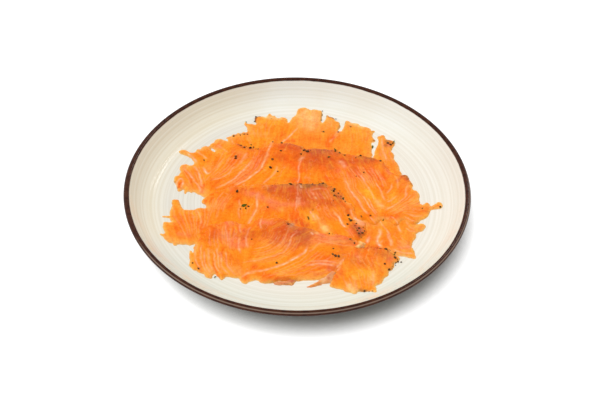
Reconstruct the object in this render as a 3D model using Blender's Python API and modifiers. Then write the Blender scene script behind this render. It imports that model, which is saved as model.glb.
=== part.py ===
"""Slices of gravlax laid over each other on a shallow coupe plate.

Units are metres with +Z up. The origin is the centre of the plate's foot, on the table.
The plate is turned from one profile. Each slice is a thin sheet that lies on the plate and on
the slices below it: the sheet is lofted from a straight spine to the slice's torn outline, its
height follows what it rests on, and Solidify gives it the slice's thickness.
"""
import math

import bpy
import numpy as np

MM = 0.001
OBJECT_NAME = "gravlax_slices"

# Clear gap between touching pieces
GAP = 0.4 * MM

# Plate
MERGE_DISTANCE = 0.00001
PLATE_STEPS = 72
FLOOR_TOP = 9.0 * MM
GLAZE_EDGE_RADIUS = 130.6 * MM
GLAZE_EDGE_HEIGHT = 25.3 * MM
FLOOR_SHARE = 0.80
WALL_POWER = 2.2
RIM_RADIUS = 135.0 * MM
LIP_TOP_RADIUS = 132.5 * MM
LIP_TOP_HEIGHT = 26.3 * MM
RIM_HEIGHT = 24.2 * MM
LIP_DROP = 1.3 * MM
LIP_UNDER_TURN = math.radians(-60.0)
OUTSIDE_TOP_RADIUS = 133.0 * MM
OUTSIDE_TOP_HEIGHT = 22.5 * MM
OUTSIDE_FOOT_RADIUS = 104.0 * MM
OUTSIDE_FOOT_HEIGHT = 4.6 * MM
OUTSIDE_POWER = 1.9
WALL_CUTS = 7
LIP_CUTS = 4
LIP_UNDER_CUTS = 2
OUTSIDE_CUTS = 6
FOOT_OUTER = 82.0 * MM
FOOT_INNER = 76.0 * MM
FOOT_FLARE = 2.0 * MM
FOOT_RECESS = 3.5 * MM

# Rows of a slice: share of the way from spine to outline, and share of the thickness there
LARGE_ROWS = ((0.25, 1.0), (0.5, 1.0), (0.75, 1.0), (0.93, 0.9), (1.0, 0.4))
MIDDLE_ROWS = ((0.4, 1.0), (0.8, 1.0), (1.0, 0.4))
SCRAP_ROWS = ((0.6, 1.0), (1.0, 0.5))
SPINE_STEP = 9.0 * MM
CURVE_CUTS = 2
HEAP_CELL = 1.5 * MM
SMALLEST_AREA = 1e-12
EDGE_SHARE = 0.05

# Outlines run clockwise seen from above, in millimetres from the plate's centre
SLICES = {
    "slice_back": {
        "thickness": 1.9 * MM,
        "rows": LARGE_ROWS,
        "spine": ((-46, 54), (43, 54)),
        "outline": (
            (-61, 60), (-60, 71), (-48, 78), (-45, 82), (-44, 91), (-38, 88), (-36, 96), (-32, 99),
            (-25, 102), (-12, 98), (-9, 92), (-4, 99), (0, 110), (6, 111), (18, 108), (20, 94),
            (25, 101), (34, 93), (34, 83), (36, 83), (40, 95), (52, 89), (61, 83), (61, 68), (59, 54),
            (50, 42), (25, 40), (0, 43), (-28, 41), (-52, 45),
        ),
    },
    "slice_back_right": {
        "thickness": 1.9 * MM,
        "rows": MIDDLE_ROWS,
        "spine": ((72, 66), (74, 34)),
        "outline": (
            (67, 69), (66, 76), (71, 77), (73, 73), (79, 70), (78, 57), (80, 45), (84, 30),
            (78, 22), (68, 26), (64, 38), (62, 51), (66, 62),
        ),
    },
    "slice_right": {
        "thickness": 2.0 * MM,
        "rows": MIDDLE_ROWS,
        "spine": ((60, -38), (76, -38)),
        "outline": (
            (48, -32), (54, -21), (68, -17), (84, -20), (91, -27), (98, -28), (99, -33), (92, -37),
            (91, -42), (87, -46), (88, -54), (90, -62), (88, -65), (76, -61), (62, -61), (52, -58),
            (48, -46),
        ),
    },
    "slice_second": {
        "thickness": 2.3 * MM,
        "rows": LARGE_ROWS,
        "spine": ((-58, 31), (88, -22)),
        "outline": (
            (-93, 4), (-98, 13), (-98, 21), (-94, 27), (-95, 33), (-86, 36), (-88, 42), (-96, 49),
            (-96, 53), (-85, 51), (-77, 58), (-66, 67), (-60, 67), (-52, 60), (-38, 56), (-28, 57),
            (-20, 62), (-9, 62), (5, 57), (28, 55), (38, 51), (52, 47), (70, 41), (83, 29), (88, 28),
            (93, 14), (97, 5), (96, -2), (99, -7), (103, -4), (106, -9), (110, -4), (114, -7),
            (107, -12), (101, -22), (93, -28), (78, -27), (56, -25), (38, -14), (18, -2), (-10, 1),
            (-56, -4), (-76, 0), (-87, 2),
        ),
    },
    "slice_third": {
        "thickness": 2.3 * MM,
        "rows": LARGE_ROWS,
        "spine": ((-84, -32), (26, -16)),
        "outline": (
            (-99, -50), (-103, -42), (-103, -31), (-97, -28), (-99, -19), (-97, -7), (-93, -8),
            (-88, -17), (-78, -16), (-74, -4), (-65, 3), (-52, 8), (-35, 9), (0, 12), (21, 15),
            (29, 11), (37, -3), (43, -9), (46, -21), (52, -34), (50, -43), (44, -50), (28, -49),
            (0, -44), (-35, -44), (-62, -49), (-80, -54), (-92, -55),
        ),
    },
    "slice_front": {
        "thickness": 2.3 * MM,
        "rows": LARGE_ROWS,
        "spine": ((-56, -60), (24, -64)),
        "outline": (
            (-80, -72), (-80, -61), (-75, -56), (-74, -46), (-67, -35), (-54, -29), (-38, -33),
            (-29, -26), (-14, -25), (-4, -31), (10, -36), (25, -41), (36, -42), (46, -49), (46, -58),
            (40, -70), (33, -81), (26, -89), (14, -89), (0, -91), (-5, -94), (-26, -91), (-37, -93),
            (-42, -88), (-55, -89), (-68, -86), (-77, -79),
        ),
    },
    "slice_front_right": {
        "thickness": 2.1 * MM,
        "rows": LARGE_ROWS,
        "spine": ((42, -85), (59, -72)),
        "outline": (
            (25, -93), (26, -86), (32, -76), (38, -64), (44, -57), (52, -56), (70, -58), (76, -63),
            (77, -70), (69, -79), (66, -87), (60, -93), (59, -99), (45, -101), (28, -97),
        ),
    },
    "fat_scrap": {
        "thickness": 1.4 * MM,
        "rows": SCRAP_ROWS,
        "spine": ((47, -52), (49, -52)),
        "outline": ((43, -53), (46, -49), (50, -49), (53, -52), (50, -55), (46, -55)),
    },
    "skin_scrap": {
        "thickness": 1.4 * MM,
        "rows": SCRAP_ROWS,
        "spine": ((-12, -95), (-5, -95)),
        "outline": ((-17, -95), (-12, -93), (0, -92), (0, -96), (-8, -98), (-15, -97)),
    },
    "fat_sliver": {
        "thickness": 1.4 * MM,
        "rows": SCRAP_ROWS,
        "spine": ((13, -95), (24, -86)),
        "outline": ((8, -97), (17, -91), (19, -85), (25, -80), (28, -81), (27, -88), (24, -93), (14, -97)),
    },
}

COLOURS = {
    "plate": (0.86, 0.82, 0.73),
    "slice_back": (1.0, 0.36, 0.06),
    "slice_back_right": (1.0, 0.34, 0.05),
    "slice_right": (1.0, 0.28, 0.03),
    "slice_second": (0.98, 0.23, 0.02),
    "slice_third": (0.97, 0.21, 0.02),
    "slice_front": (0.98, 0.23, 0.03),
    "slice_front_right": (1.0, 0.25, 0.02),
    "fat_scrap": (0.85, 0.55, 0.30),
    "skin_scrap": (0.60, 0.25, 0.12),
    "fat_sliver": (0.80, 0.42, 0.25),
}
PLATE_ROUGHNESS = 0.18
FISH_ROUGHNESS = 0.30


def empty_scene():
    for old in list(bpy.data.objects):
        bpy.data.objects.remove(old, do_unlink=True)


def new_collection(name):
    collection = bpy.data.collections.new(name)
    bpy.context.scene.collection.children.link(collection)
    return collection


def add_object(name, mesh, collection, roughness):
    """An object with a Principled material of its own, in the collection."""
    material = bpy.data.materials.new(name)
    material.use_nodes = True
    shader = material.node_tree.nodes["Principled BSDF"]
    shader.inputs["Base Color"].default_value = (*COLOURS[name], 1.0)
    shader.inputs["Roughness"].default_value = roughness
    mesh.materials.append(material)
    piece = bpy.data.objects.new(name, mesh)
    collection.objects.link(piece)
    return piece


def inner_height(radius):
    """Height of the plate's eating surface: a flat floor, then a wall that rises as a power curve."""
    share = np.clip((radius / GLAZE_EDGE_RADIUS - FLOOR_SHARE) / (1.0 - FLOOR_SHARE), 0.0, 1.0)
    return FLOOR_TOP + (GLAZE_EDGE_HEIGHT - FLOOR_TOP) * share ** WALL_POWER


def inside_profile():
    """The eating surface from the middle out to the glaze's edge: one flat run, then points up the wall."""
    shares = [FLOOR_SHARE + (1.0 - FLOOR_SHARE) * cut / WALL_CUTS for cut in range(WALL_CUTS + 1)]
    radii = [0.0] + [share * GLAZE_EDGE_RADIUS for share in shares]
    return [(radius, float(inner_height(radius))) for radius in radii]


def plate_profile():
    """Half section of the plate, from the middle of the floor over the lip to the middle underneath."""
    lip = []
    for cut in range(LIP_CUTS + 1):
        turn = math.pi / 2 * (1.0 - cut / LIP_CUTS)
        lip.append((LIP_TOP_RADIUS + (RIM_RADIUS - LIP_TOP_RADIUS) * math.cos(turn),
                    RIM_HEIGHT + (LIP_TOP_HEIGHT - RIM_HEIGHT) * math.sin(turn)))
    for cut in range(1, LIP_UNDER_CUTS + 1):
        turn = LIP_UNDER_TURN * cut / LIP_UNDER_CUTS
        lip.append((LIP_TOP_RADIUS + (RIM_RADIUS - LIP_TOP_RADIUS) * math.cos(turn),
                    RIM_HEIGHT + LIP_DROP * math.sin(turn)))
    outside = []
    reach = OUTSIDE_TOP_RADIUS - OUTSIDE_FOOT_RADIUS
    rise = OUTSIDE_TOP_HEIGHT - OUTSIDE_FOOT_HEIGHT
    for cut in range(OUTSIDE_CUTS + 1):
        share = 1.0 - cut / OUTSIDE_CUTS
        outside.append((OUTSIDE_FOOT_RADIUS + reach * share,
                        OUTSIDE_FOOT_HEIGHT + rise * share ** OUTSIDE_POWER))
    foot = [
        (FOOT_OUTER + FOOT_FLARE, FOOT_RECESS),
        (FOOT_OUTER, 0.0),
        (FOOT_INNER, 0.0),
        (FOOT_INNER - FOOT_FLARE, FOOT_RECESS),
        (0.0, FOOT_RECESS),
    ]
    return inside_profile() + lip + outside + foot


def make_plate(collection):
    """The plate: its half section turned about the vertical axis."""
    profile = plate_profile()
    mesh = bpy.data.meshes.new("plate")
    mesh.from_pydata([(radius, 0.0, height) for radius, height in profile],
                     [(i, i + 1) for i in range(len(profile) - 1)], [])
    plate = add_object("plate", mesh, collection, PLATE_ROUGHNESS)
    turn = plate.modifiers.new("turned", "SCREW")
    turn.axis = "Z"
    turn.angle = 2.0 * math.pi
    turn.steps = PLATE_STEPS
    turn.render_steps = PLATE_STEPS
    turn.use_merge_vertices = True
    turn.merge_threshold = MERGE_DISTANCE
    turn.use_smooth_shade = True
    return plate


def plate_top(points):
    """Height of the turned plate under points in plan, taken at the outside of its facets."""
    radii, heights = zip(*inside_profile())
    reach = np.hypot(points[:, 0], points[:, 1]) / math.cos(math.pi / PLATE_STEPS)
    return np.interp(reach, radii, heights)


def closed_curve(points, cuts):
    """A Catmull-Rom curve round the closed outline, each stretch cut in equal steps."""
    before = np.roll(points, 1, axis=0)
    after = np.roll(points, -1, axis=0)
    beyond = np.roll(points, -2, axis=0)
    stretches = []
    for step in range(cuts):
        t = step / cuts
        stretches.append(0.5 * (2.0 * points + (after - before) * t
                                + (2.0 * before - 5.0 * points + 4.0 * after - beyond) * t ** 2
                                + (3.0 * points - before - 3.0 * after + beyond) * t ** 3))
    return np.stack(stretches, axis=1).reshape(-1, 2)


def spine_feet(outline, start, end):
    """For each outline point the nearest of the spine's even nodes, out along one side and back."""
    along = end - start
    count = max(1, round(float(np.linalg.norm(along)) / SPINE_STEP))
    share = np.clip((outline - start) @ along / (along @ along), 0.0, 1.0)
    node = np.rint(share * count).astype(int)
    extent = (outline - start) @ along
    first = int(np.argmin(extent))
    order = np.roll(np.arange(len(outline)), -first)
    last = int(np.argmax(extent[order]))
    out_side = order[:last + 1]
    back_side = order[last + 1:]
    node[out_side] = np.maximum.accumulate(node[out_side])
    node[back_side] = np.minimum.accumulate(node[back_side])
    nodes = start + along * (np.arange(count + 1) / count)[:, None]
    return nodes, node


def sheet_plan(outline, start, end, shares):
    """Points and faces in plan of a sheet lofted in rows from the spine to the outline."""
    nodes, node = spine_feet(outline, start, end)
    rows = [nodes[node] + share * (outline - nodes[node]) for share in shares]
    points = np.concatenate([nodes] + rows)
    sides = len(outline)
    faces = []
    for i in range(sides):
        j = (i + 1) % sides
        stride = 1 if node[j] >= node[i] else -1
        inner = list(range(node[i], node[j] + stride, stride)) if node[i] != node[j] else [int(node[i])]
        faces.append(inner + [len(nodes) + j, len(nodes) + i])
        for row in range(len(shares) - 1):
            near = len(nodes) + row * sides
            far = near + sides
            faces.append([near + i, near + j, far + j, far + i])
    return points, faces, len(nodes)


def neighbour_reach(points, faces):
    """How far each point's surrounding faces stretch from it."""
    reach = np.zeros(len(points))
    for face in faces:
        corners = points[face]
        spans = np.linalg.norm(corners[:, None] - corners[None], axis=2).max(axis=1)
        reach[face] = np.maximum(reach[face], spans)
    return reach


class Heap:
    """The top of what has been laid down so far, on a square lattice over the plate."""

    def __init__(self):
        half = round(RIM_RADIUS / HEAP_CELL)
        ticks = np.arange(-half, half + 1) * HEAP_CELL
        self.x, self.y = np.meshgrid(ticks, ticks)
        self.top = np.zeros_like(self.x)

    def under(self, points, reach):
        """Highest thing within reach of each point."""
        heights = []
        for (x, y), limit in zip(points, reach):
            near = np.hypot(self.x - x, self.y - y) < limit + HEAP_CELL
            heights.append(self.top[near].max())
        return np.array(heights)

    def lay(self, points, heights, faces):
        """Adds a sheet's faceted top."""
        for face in faces:
            for k in range(1, len(face) - 1):
                a, b, c = points[face[0]], points[face[k]], points[face[k + 1]]
                area = (b[0] - a[0]) * (c[1] - a[1]) - (b[1] - a[1]) * (c[0] - a[0])
                if abs(area) < SMALLEST_AREA:
                    continue
                u = ((b[0] - self.x) * (c[1] - self.y) - (b[1] - self.y) * (c[0] - self.x)) / area
                v = ((c[0] - self.x) * (a[1] - self.y) - (c[1] - self.y) * (a[0] - self.x)) / area
                inside = (u > -EDGE_SHARE) & (v > -EDGE_SHARE) & (u + v < 1.0 + EDGE_SHARE)
                top = max(heights[face[0]], heights[face[k]], heights[face[k + 1]])
                self.top[inside] = np.maximum(self.top[inside], top)


def make_slice(name, design, heap, collection):
    """One slice, laid on the plate and on the heap."""
    outline = closed_curve(np.array(design["outline"]) * MM, CURVE_CUTS)
    start, end = (np.array(point) * MM for point in design["spine"])
    shares = [share for share, _ in design["rows"]]
    points, faces, spine_count = sheet_plan(outline, start, end, shares)
    fullness = [np.full(len(outline), share) for _, share in design["rows"]]
    full = np.concatenate([np.ones(spine_count)] + fullness)
    rest = np.maximum(plate_top(points), heap.under(points, neighbour_reach(points, faces)))
    heights = rest + GAP + design["thickness"] * full
    heap.lay(points, heights, faces)
    mesh = bpy.data.meshes.new(name)
    mesh.from_pydata(np.column_stack([points, heights]).tolist(), [], faces)
    piece = add_object(name, mesh, collection, FISH_ROUGHNESS)
    group = piece.vertex_groups.new(name="fullness")
    for index, value in enumerate(full):
        group.add([index], float(value), "REPLACE")
    thick = piece.modifiers.new("thickness", "SOLIDIFY")
    thick.thickness = design["thickness"]
    thick.offset = -1.0
    thick.vertex_group = "fullness"
    return piece


empty_scene()
parts = new_collection(OBJECT_NAME)
make_plate(parts)
slice_heap = Heap()
for slice_name, slice_design in SLICES.items():
    make_slice(slice_name, slice_design, slice_heap, parts)
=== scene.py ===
"""Gravlax slices on a coupe plate: the finish and fine shape of every piece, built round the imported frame.

The script follows the order in which the food is served: the table and its light, the plate, the
slices laid one over another, the scraps of fat and skin, then the pepper and dill on top.
Lengths are metres, or millimetres where a comment says so; x runs right, y away from the diner, z up.
"""

import math

import bpy
import numpy as np
from mathutils import Matrix


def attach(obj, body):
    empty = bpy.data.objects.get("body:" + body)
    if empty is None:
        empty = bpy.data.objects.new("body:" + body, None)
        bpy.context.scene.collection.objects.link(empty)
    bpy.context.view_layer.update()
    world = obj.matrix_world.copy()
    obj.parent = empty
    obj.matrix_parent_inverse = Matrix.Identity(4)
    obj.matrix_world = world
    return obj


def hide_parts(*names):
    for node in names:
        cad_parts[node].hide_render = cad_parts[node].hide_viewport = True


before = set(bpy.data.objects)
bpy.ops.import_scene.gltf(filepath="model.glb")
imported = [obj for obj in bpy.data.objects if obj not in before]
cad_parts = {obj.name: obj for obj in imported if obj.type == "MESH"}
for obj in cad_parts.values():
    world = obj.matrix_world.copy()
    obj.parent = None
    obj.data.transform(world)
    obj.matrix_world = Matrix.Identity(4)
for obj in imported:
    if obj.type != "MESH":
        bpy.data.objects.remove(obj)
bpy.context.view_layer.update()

# ---- Table, light and camera ------------------------------------------------------------------
# A plain table, grey but glowing with painted light where it lies open, under soft studio light:
# one broad lamp from behind on the left, two narrow strips at the back whose reflections run
# along the glaze, and an even glow all round.
MM = 0.001
WHITE = (1.0, 1.0, 1.0, 1.0)
TABLE_HALF = 3.0
TABLE_COLOUR = (0.27, 0.27, 0.27, 1.0)
SHARP_ANGLE = math.radians(70.0)
# How open a spot must be before the table glows with painted light: more to the right, where the shadow falls
OPEN_REACH = 0.03
OPEN_SPAN = (-0.10, 0.13)
OPEN_LEAST = 0.25
OPEN_DRIFT = 1.2
OPEN_FULL = 0.4
OPEN_RISE = 2.6
GLOW = 0.80
BACKDROP = 1.05
KEY_DIRECTION = (-0.48, 0.14, 0.86)
KEY_AWAY = 2.0
KEY_STRENGTH = 1.64
KEY_SPREAD = math.radians(24.0)
# Place, size and power of each strip
STRIPS = (((0.42, 0.95, 1.15), (0.07, 0.45), 1.25), ((0.60, 0.91, 1.03), (0.04, 0.60), 1.0))
LIGHT_LEVEL = 1.2
LOOK_AT = (0.002217, -0.017405, 0.0253)
LOOK_DISTANCE = 1.0
LOOK_DOWN = math.radians(43.56)
LOOK_ROLL = math.radians(0.946)
LENS_MM = 77.96
SENSOR_MM = 36.0


def unit(vector):
    """The vector divided by its own length."""
    vector = np.array(vector, float)
    return vector / np.linalg.norm(vector)


def show(name, data):
    """An object of the given data, added to the scene."""
    thing = bpy.data.objects.new(name, data)
    bpy.context.scene.collection.objects.link(thing)
    return thing


def set_axes(thing, right, up, back, spot):
    """Turns an object so that its x, y and z axes are the three given, and puts it on the spot."""
    rows = [[right[i], up[i], back[i], spot[i]] for i in range(3)]
    thing.matrix_world = Matrix(rows + [[0.0, 0.0, 0.0, 1.0]])


def add_lamp(name, kind, spot, **settings):
    """A lamp on the spot, aimed at the middle of the plate."""
    light = bpy.data.lights.new(name, kind)
    for key, value in settings.items():
        setattr(light, key, value)
    lamp = show(name, light)
    back = unit(spot)
    right = unit(np.cross((0.0, 0.0, 1.0), back))
    set_axes(lamp, right, np.cross(back, right), back, spot)
    return lamp


def place(tree, kind, **values):
    """A node of the kind, with each named setting or input given its value, or linked to a socket;
    i0, i1, ... are inputs by number."""
    node = tree.nodes.new(kind)
    for key, value in values.items():
        if hasattr(node, key):
            setattr(node, key, value)
            continue
        by_number = key[0] == "i" and key[1:].isdigit()
        socket = node.inputs[int(key[1:]) if by_number else key.replace("_", " ")]
        if isinstance(value, bpy.types.NodeSocket):
            tree.links.new(value, socket)
        else:
            socket.default_value = value
    return node


def math_node(tree, operation, *values):
    """One step of arithmetic on sockets or numbers."""
    inputs = {"i%d" % k: value for k, value in enumerate(values)}
    return place(tree, "ShaderNodeMath", operation=operation, **inputs).outputs[0]


def new_material(name, **settings):
    """A Principled material with the given constant settings; returns it, its tree and its shader."""
    material = bpy.data.materials.new(name)
    material.use_nodes = True
    shader = material.node_tree.nodes["Principled BSDF"]
    for key, value in settings.items():
        shader.inputs[key.replace("_", " ")].default_value = value
    return material, material.node_tree, shader


def new_piece(name, points, faces, material):
    """An object of the given corners and triangles, smooth, with one material."""
    mesh = bpy.data.meshes.new(name)
    mesh.vertices.add(len(points))
    mesh.vertices.foreach_set("co", np.ascontiguousarray(points, np.float32).ravel())
    mesh.loops.add(faces.size)
    mesh.loops.foreach_set("vertex_index", np.ascontiguousarray(faces, np.int32).ravel())
    mesh.polygons.add(len(faces))
    mesh.polygons.foreach_set("loop_start", np.arange(0, faces.size, 3, dtype=np.int32))
    mesh.update(calc_edges=True)
    mesh.validate()
    mesh.shade_smooth()
    mesh.set_sharp_from_angle(angle=SHARP_ANGLE)
    mesh.materials.append(material)
    return show(name, mesh)


def make_world():
    """An even glow for lighting, behind which the camera sees plain white."""
    world = bpy.data.worlds.new("studio")
    bpy.context.scene.world = world
    world.use_nodes = True
    tree = world.node_tree
    tree.nodes.clear()
    path = place(tree, "ShaderNodeLightPath")
    glow = place(tree, "ShaderNodeBackground", Color=WHITE, Strength=GLOW)
    backdrop = place(tree, "ShaderNodeBackground", Color=WHITE, Strength=BACKDROP)
    mixer = place(tree, "ShaderNodeMixShader", i0=path.outputs["Is Camera Ray"], i1=glow.outputs[0],
                  i2=backdrop.outputs[0])
    place(tree, "ShaderNodeOutputWorld", Surface=mixer.outputs[0])


def table_material():
    """Matt grey that glows with painted light where the spot is more open than the least, so that
    the shadow under the plate dies out as it does on a lit table."""
    material, tree, shader = new_material("table with painted glow", Base_Color=TABLE_COLOUR, Roughness=0.9,
                                          Specular_IOR_Level=0.0, Emission_Color=WHITE)
    openness = place(tree, "ShaderNodeAmbientOcclusion", samples=24, Distance=OPEN_REACH).outputs["AO"]
    spot = place(tree, "ShaderNodeTexCoord").outputs["Object"]
    across = place(tree, "ShaderNodeSeparateXYZ", Vector=spot).outputs["X"]
    left, right = (OPEN_LEAST + end * OPEN_DRIFT for end in OPEN_SPAN)
    least = place(tree, "ShaderNodeMapRange", Value=across, From_Min=OPEN_SPAN[0], From_Max=OPEN_SPAN[1],
                  To_Min=left, To_Max=right).outputs["Result"]
    excess = math_node(tree, "SUBTRACT", openness, least)
    painted_glow = place(tree, "ShaderNodeMapRange", Value=excess, From_Min=0.0, From_Max=OPEN_FULL,
                  To_Min=0.0, To_Max=OPEN_FULL * OPEN_RISE).outputs["Result"]
    tree.links.new(painted_glow, shader.inputs["Emission Strength"])
    return material


def make_camera():
    """The diner's view: level with the table's right-hand side, looking down at a slant."""
    camera_data = bpy.data.cameras.new("diner")
    camera_data.lens = LENS_MM
    camera_data.sensor_width = SENSOR_MM
    camera = show("diner", camera_data)
    level = np.array((1.0, 0.0, 0.0))
    upward = np.array((0.0, math.sin(LOOK_DOWN), math.cos(LOOK_DOWN)))
    back = np.array((0.0, -math.cos(LOOK_DOWN), math.sin(LOOK_DOWN)))
    right = level * math.cos(LOOK_ROLL) + upward * math.sin(LOOK_ROLL)
    up = upward * math.cos(LOOK_ROLL) - level * math.sin(LOOK_ROLL)
    set_axes(camera, right, up, back, np.array(LOOK_AT) + back * LOOK_DISTANCE)
    bpy.context.scene.camera = camera


make_world()
corners = TABLE_HALF * np.array([(-1.0, -1.0, 0.0), (1.0, -1.0, 0.0), (1.0, 1.0, 0.0), (-1.0, 1.0, 0.0)])
table = new_piece("table", corners, np.array([(0, 1, 2), (0, 2, 3)]), table_material())
make_camera()
key = add_lamp("key", "SUN", np.array(KEY_DIRECTION) * KEY_AWAY, energy=KEY_STRENGTH, angle=KEY_SPREAD)
key.visible_glossy = False
for strip_place, strip_size, strip_power in STRIPS:
    add_lamp("strip", "AREA", strip_place, energy=strip_power, shape="RECTANGLE",
             size=strip_size[0], size_y=strip_size[1])
bpy.context.scene.view_settings.view_transform = "Standard"

# ---- Plate ------------------------------------------------------------------------------------
# A thrown stoneware coupe plate: cream glaze over the fine rings that the fingers leave, a
# hand-painted brown band round the lip, and a plain turned foot.
RINGS_SEED = 5
PLATE_TURNS = 320
INSIDE_ROWS = 210
FLOOR_TOP = 9.0 * MM
FLOOR_SHARE = 0.80
WALL_POWER = 2.2
GLAZE_EDGE_RADIUS = 130.6 * MM
GLAZE_EDGE_HEIGHT = 25.3 * MM
LIP_TOP_RADIUS = 132.5 * MM
LIP_TOP_HEIGHT = 26.3 * MM
LIP_DROP = 1.3 * MM
RIM_RADIUS = 135.0 * MM
RIM_HEIGHT = 24.2 * MM
OUTSIDE_TOP = (133.0 * MM, 22.5 * MM)
OUTSIDE_FOOT = (104.0 * MM, 4.6 * MM)
OUTSIDE_POWER = 1.9
FOOT_OUTER = 82.0 * MM
FOOT_INNER = 76.0 * MM
FOOT_ROUND = 1.2 * MM
FOOT_RECESS = 3.5 * MM
RING_RELIEF = 0.04 * MM
RING_FADE = 3.0 * MM
RING_PITCHES = (5.2 * MM, 2.6 * MM, 1.3 * MM)
# Glaze tones, a darker and a lighter one mixed along the rings: over the floor, then tones painted
# by side as light and shade: painted shade on the floor at the left, painted light, a little warmer,
# on the wall at the left, painted light on the wall at the back, and painted shade on the wall in front
FLOOR_TONES = ((231, 224, 210), (240, 235, 224))
PAINTED_LEFT_FLOOR_TONES = ((220, 215, 203), (230, 227, 217))
PAINTED_LEFT_WALL_TONES = ((236, 226, 201), (246, 240, 221))
PAINTED_BACK_WALL_TONES = ((240, 239, 227), (247, 247, 239))
PAINTED_FRONT_WALL_TONES = ((220, 219, 204), (229, 229, 217))
CLOUD_TONE = (234, 224, 202)
SPECK_TONE = (150, 120, 90)
BAND_TONES = ((48, 14, 4), (74, 38, 20))
# Tone of the painted highlight along the brown band's crest
RIM_HIGHLIGHT_TONE = (150, 128, 112)
WALL_START = 100.0 * MM
NEAR_START = 90.0 * MM
WALL_FULL = 118.0 * MM
BAND_EDGE = (GLAZE_EDGE_RADIUS + 0.75 * MM, GLAZE_EDGE_RADIUS + 1.10 * MM)
BAND_DIP = 0.95 * MM
BAND_FOOT_HEIGHT = 19.0 * MM
# Radius of the painted highlight's line on the band
RIM_HIGHLIGHT_RADIUS = 134.05 * MM


def colour(red, green, blue):
    """Surface colour that shows as the tone, given in steps from 0 to 255, under the studio's
    light, which is LIGHT_LEVEL times as bright as it takes to show plain white; alpha is 1."""
    tone = np.array((red, green, blue)) / 255.0
    linear = np.where(tone <= 0.04045, tone / 12.92, ((tone + 0.055) / 1.055) ** 2.4)
    return (*(float(channel) for channel in linear / LIGHT_LEVEL), 1.0)


def inner_height(radius):
    """Height of the eating surface: level to FLOOR_SHARE of the radius, then a power curve up."""
    share = np.clip((radius / GLAZE_EDGE_RADIUS - FLOOR_SHARE) / (1.0 - FLOOR_SHARE), 0.0, 1.0)
    return FLOOR_TOP + (GLAZE_EDGE_HEIGHT - FLOOR_TOP) * share ** WALL_POWER


def wander(position, pitch, seed):
    """A smooth random line between -1 and 1: random heights every pitch, joined by smooth steps."""
    heights = np.random.default_rng(seed).uniform(-1.0, 1.0, 4096)
    scaled = np.asarray(position) / pitch + 1000.0
    cell = np.floor(scaled).astype(int)
    share = scaled - cell
    smooth = share * share * (3.0 - 2.0 * share)
    return heights[cell % 4096] * (1.0 - smooth) + heights[(cell + 1) % 4096] * smooth


def arc(middle, reach, start, end, cuts):
    """Points on an ellipse round the middle, from one angle to another, both in degrees."""
    turn = np.radians(np.linspace(start, end, cuts))
    return np.column_stack([middle[0] + reach[0] * np.cos(turn), middle[1] + reach[1] * np.sin(turn)])


def plate_section():
    """Half section from the middle of the floor over the lip and foot to the middle underneath."""
    radius = np.linspace(0.0, GLAZE_EDGE_RADIUS, INSIDE_ROWS)
    ring = sum(wander(radius, pitch, RINGS_SEED + k) / (k + 1) for k, pitch in enumerate(RING_PITCHES))
    fade = np.clip((GLAZE_EDGE_RADIUS - radius) / RING_FADE, 0.0, 1.0)
    lip = (LIP_TOP_RADIUS, GLAZE_EDGE_HEIGHT)
    rim = (LIP_TOP_RADIUS, RIM_HEIGHT)
    reach = RIM_RADIUS - LIP_TOP_RADIUS
    share = np.linspace(1.0, 0.0, 24)
    run, rise = OUTSIDE_TOP[0] - OUTSIDE_FOOT[0], OUTSIDE_TOP[1] - OUTSIDE_FOOT[1]
    rounding = (FOOT_ROUND, FOOT_ROUND)
    return np.concatenate([
        np.column_stack([radius, inner_height(radius) + RING_RELIEF * ring * fade]),
        arc(lip, (LIP_TOP_RADIUS - GLAZE_EDGE_RADIUS, LIP_TOP_HEIGHT - GLAZE_EDGE_HEIGHT), 175, 90, 8),
        arc(rim, (reach, LIP_TOP_HEIGHT - RIM_HEIGHT), 84, 0, 10),
        arc(rim, (reach, LIP_DROP), -12, -62, 6),
        np.column_stack([OUTSIDE_FOOT[0] + run * share, OUTSIDE_FOOT[1] + rise * share ** OUTSIDE_POWER]),
        arc((FOOT_OUTER + FOOT_ROUND, FOOT_RECESS), (FOOT_ROUND, -FOOT_ROUND), 90, 180, 5),
        arc((FOOT_OUTER - FOOT_ROUND, FOOT_ROUND), rounding, 0, -90, 6),
        arc((FOOT_INNER + FOOT_ROUND, FOOT_ROUND), rounding, -90, -180, 6),
        np.column_stack([np.linspace(FOOT_INNER - FOOT_ROUND, 0.0, 12), np.full(12, FOOT_RECESS)]),
    ])


def ring_faces(inner, outer):
    """Two triangles between each pair of neighbours of two closed rings of corner numbers; those
    with two equal corners, as at a pole, are dropped."""
    inner_next = np.roll(inner, -1)
    outer_next = np.roll(outer, -1)
    faces = np.concatenate([np.column_stack([inner, outer, outer_next]),
                            np.column_stack([inner, outer_next, inner_next])])
    distinct = (faces != np.roll(faces, -1, axis=1)).all(axis=1)
    return faces[distinct]


def turned(section, turns):
    """A section turned about the vertical axis: corner (r cos a, r sin a, z) for each turn a."""
    angle = np.arange(turns) * (2.0 * math.pi / turns)
    radius, height = section[1:-1, 0], section[1:-1, 1]
    rings = np.stack([radius[:, None] * np.cos(angle), radius[:, None] * np.sin(angle),
                      np.repeat(height[:, None], turns, axis=1)], axis=2).reshape(-1, 3)
    points = np.concatenate([[(0.0, 0.0, section[0, 1])], rings, [(0.0, 0.0, section[-1, 1])]])
    rows = [np.zeros(turns, int)]
    rows += [1 + row * turns + np.arange(turns) for row in range(len(radius))]
    rows += [np.full(turns, len(points) - 1)]
    faces = np.concatenate([ring_faces(rows[k], rows[k + 1]) for k in range(len(rows) - 1)])
    return points, faces


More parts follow.
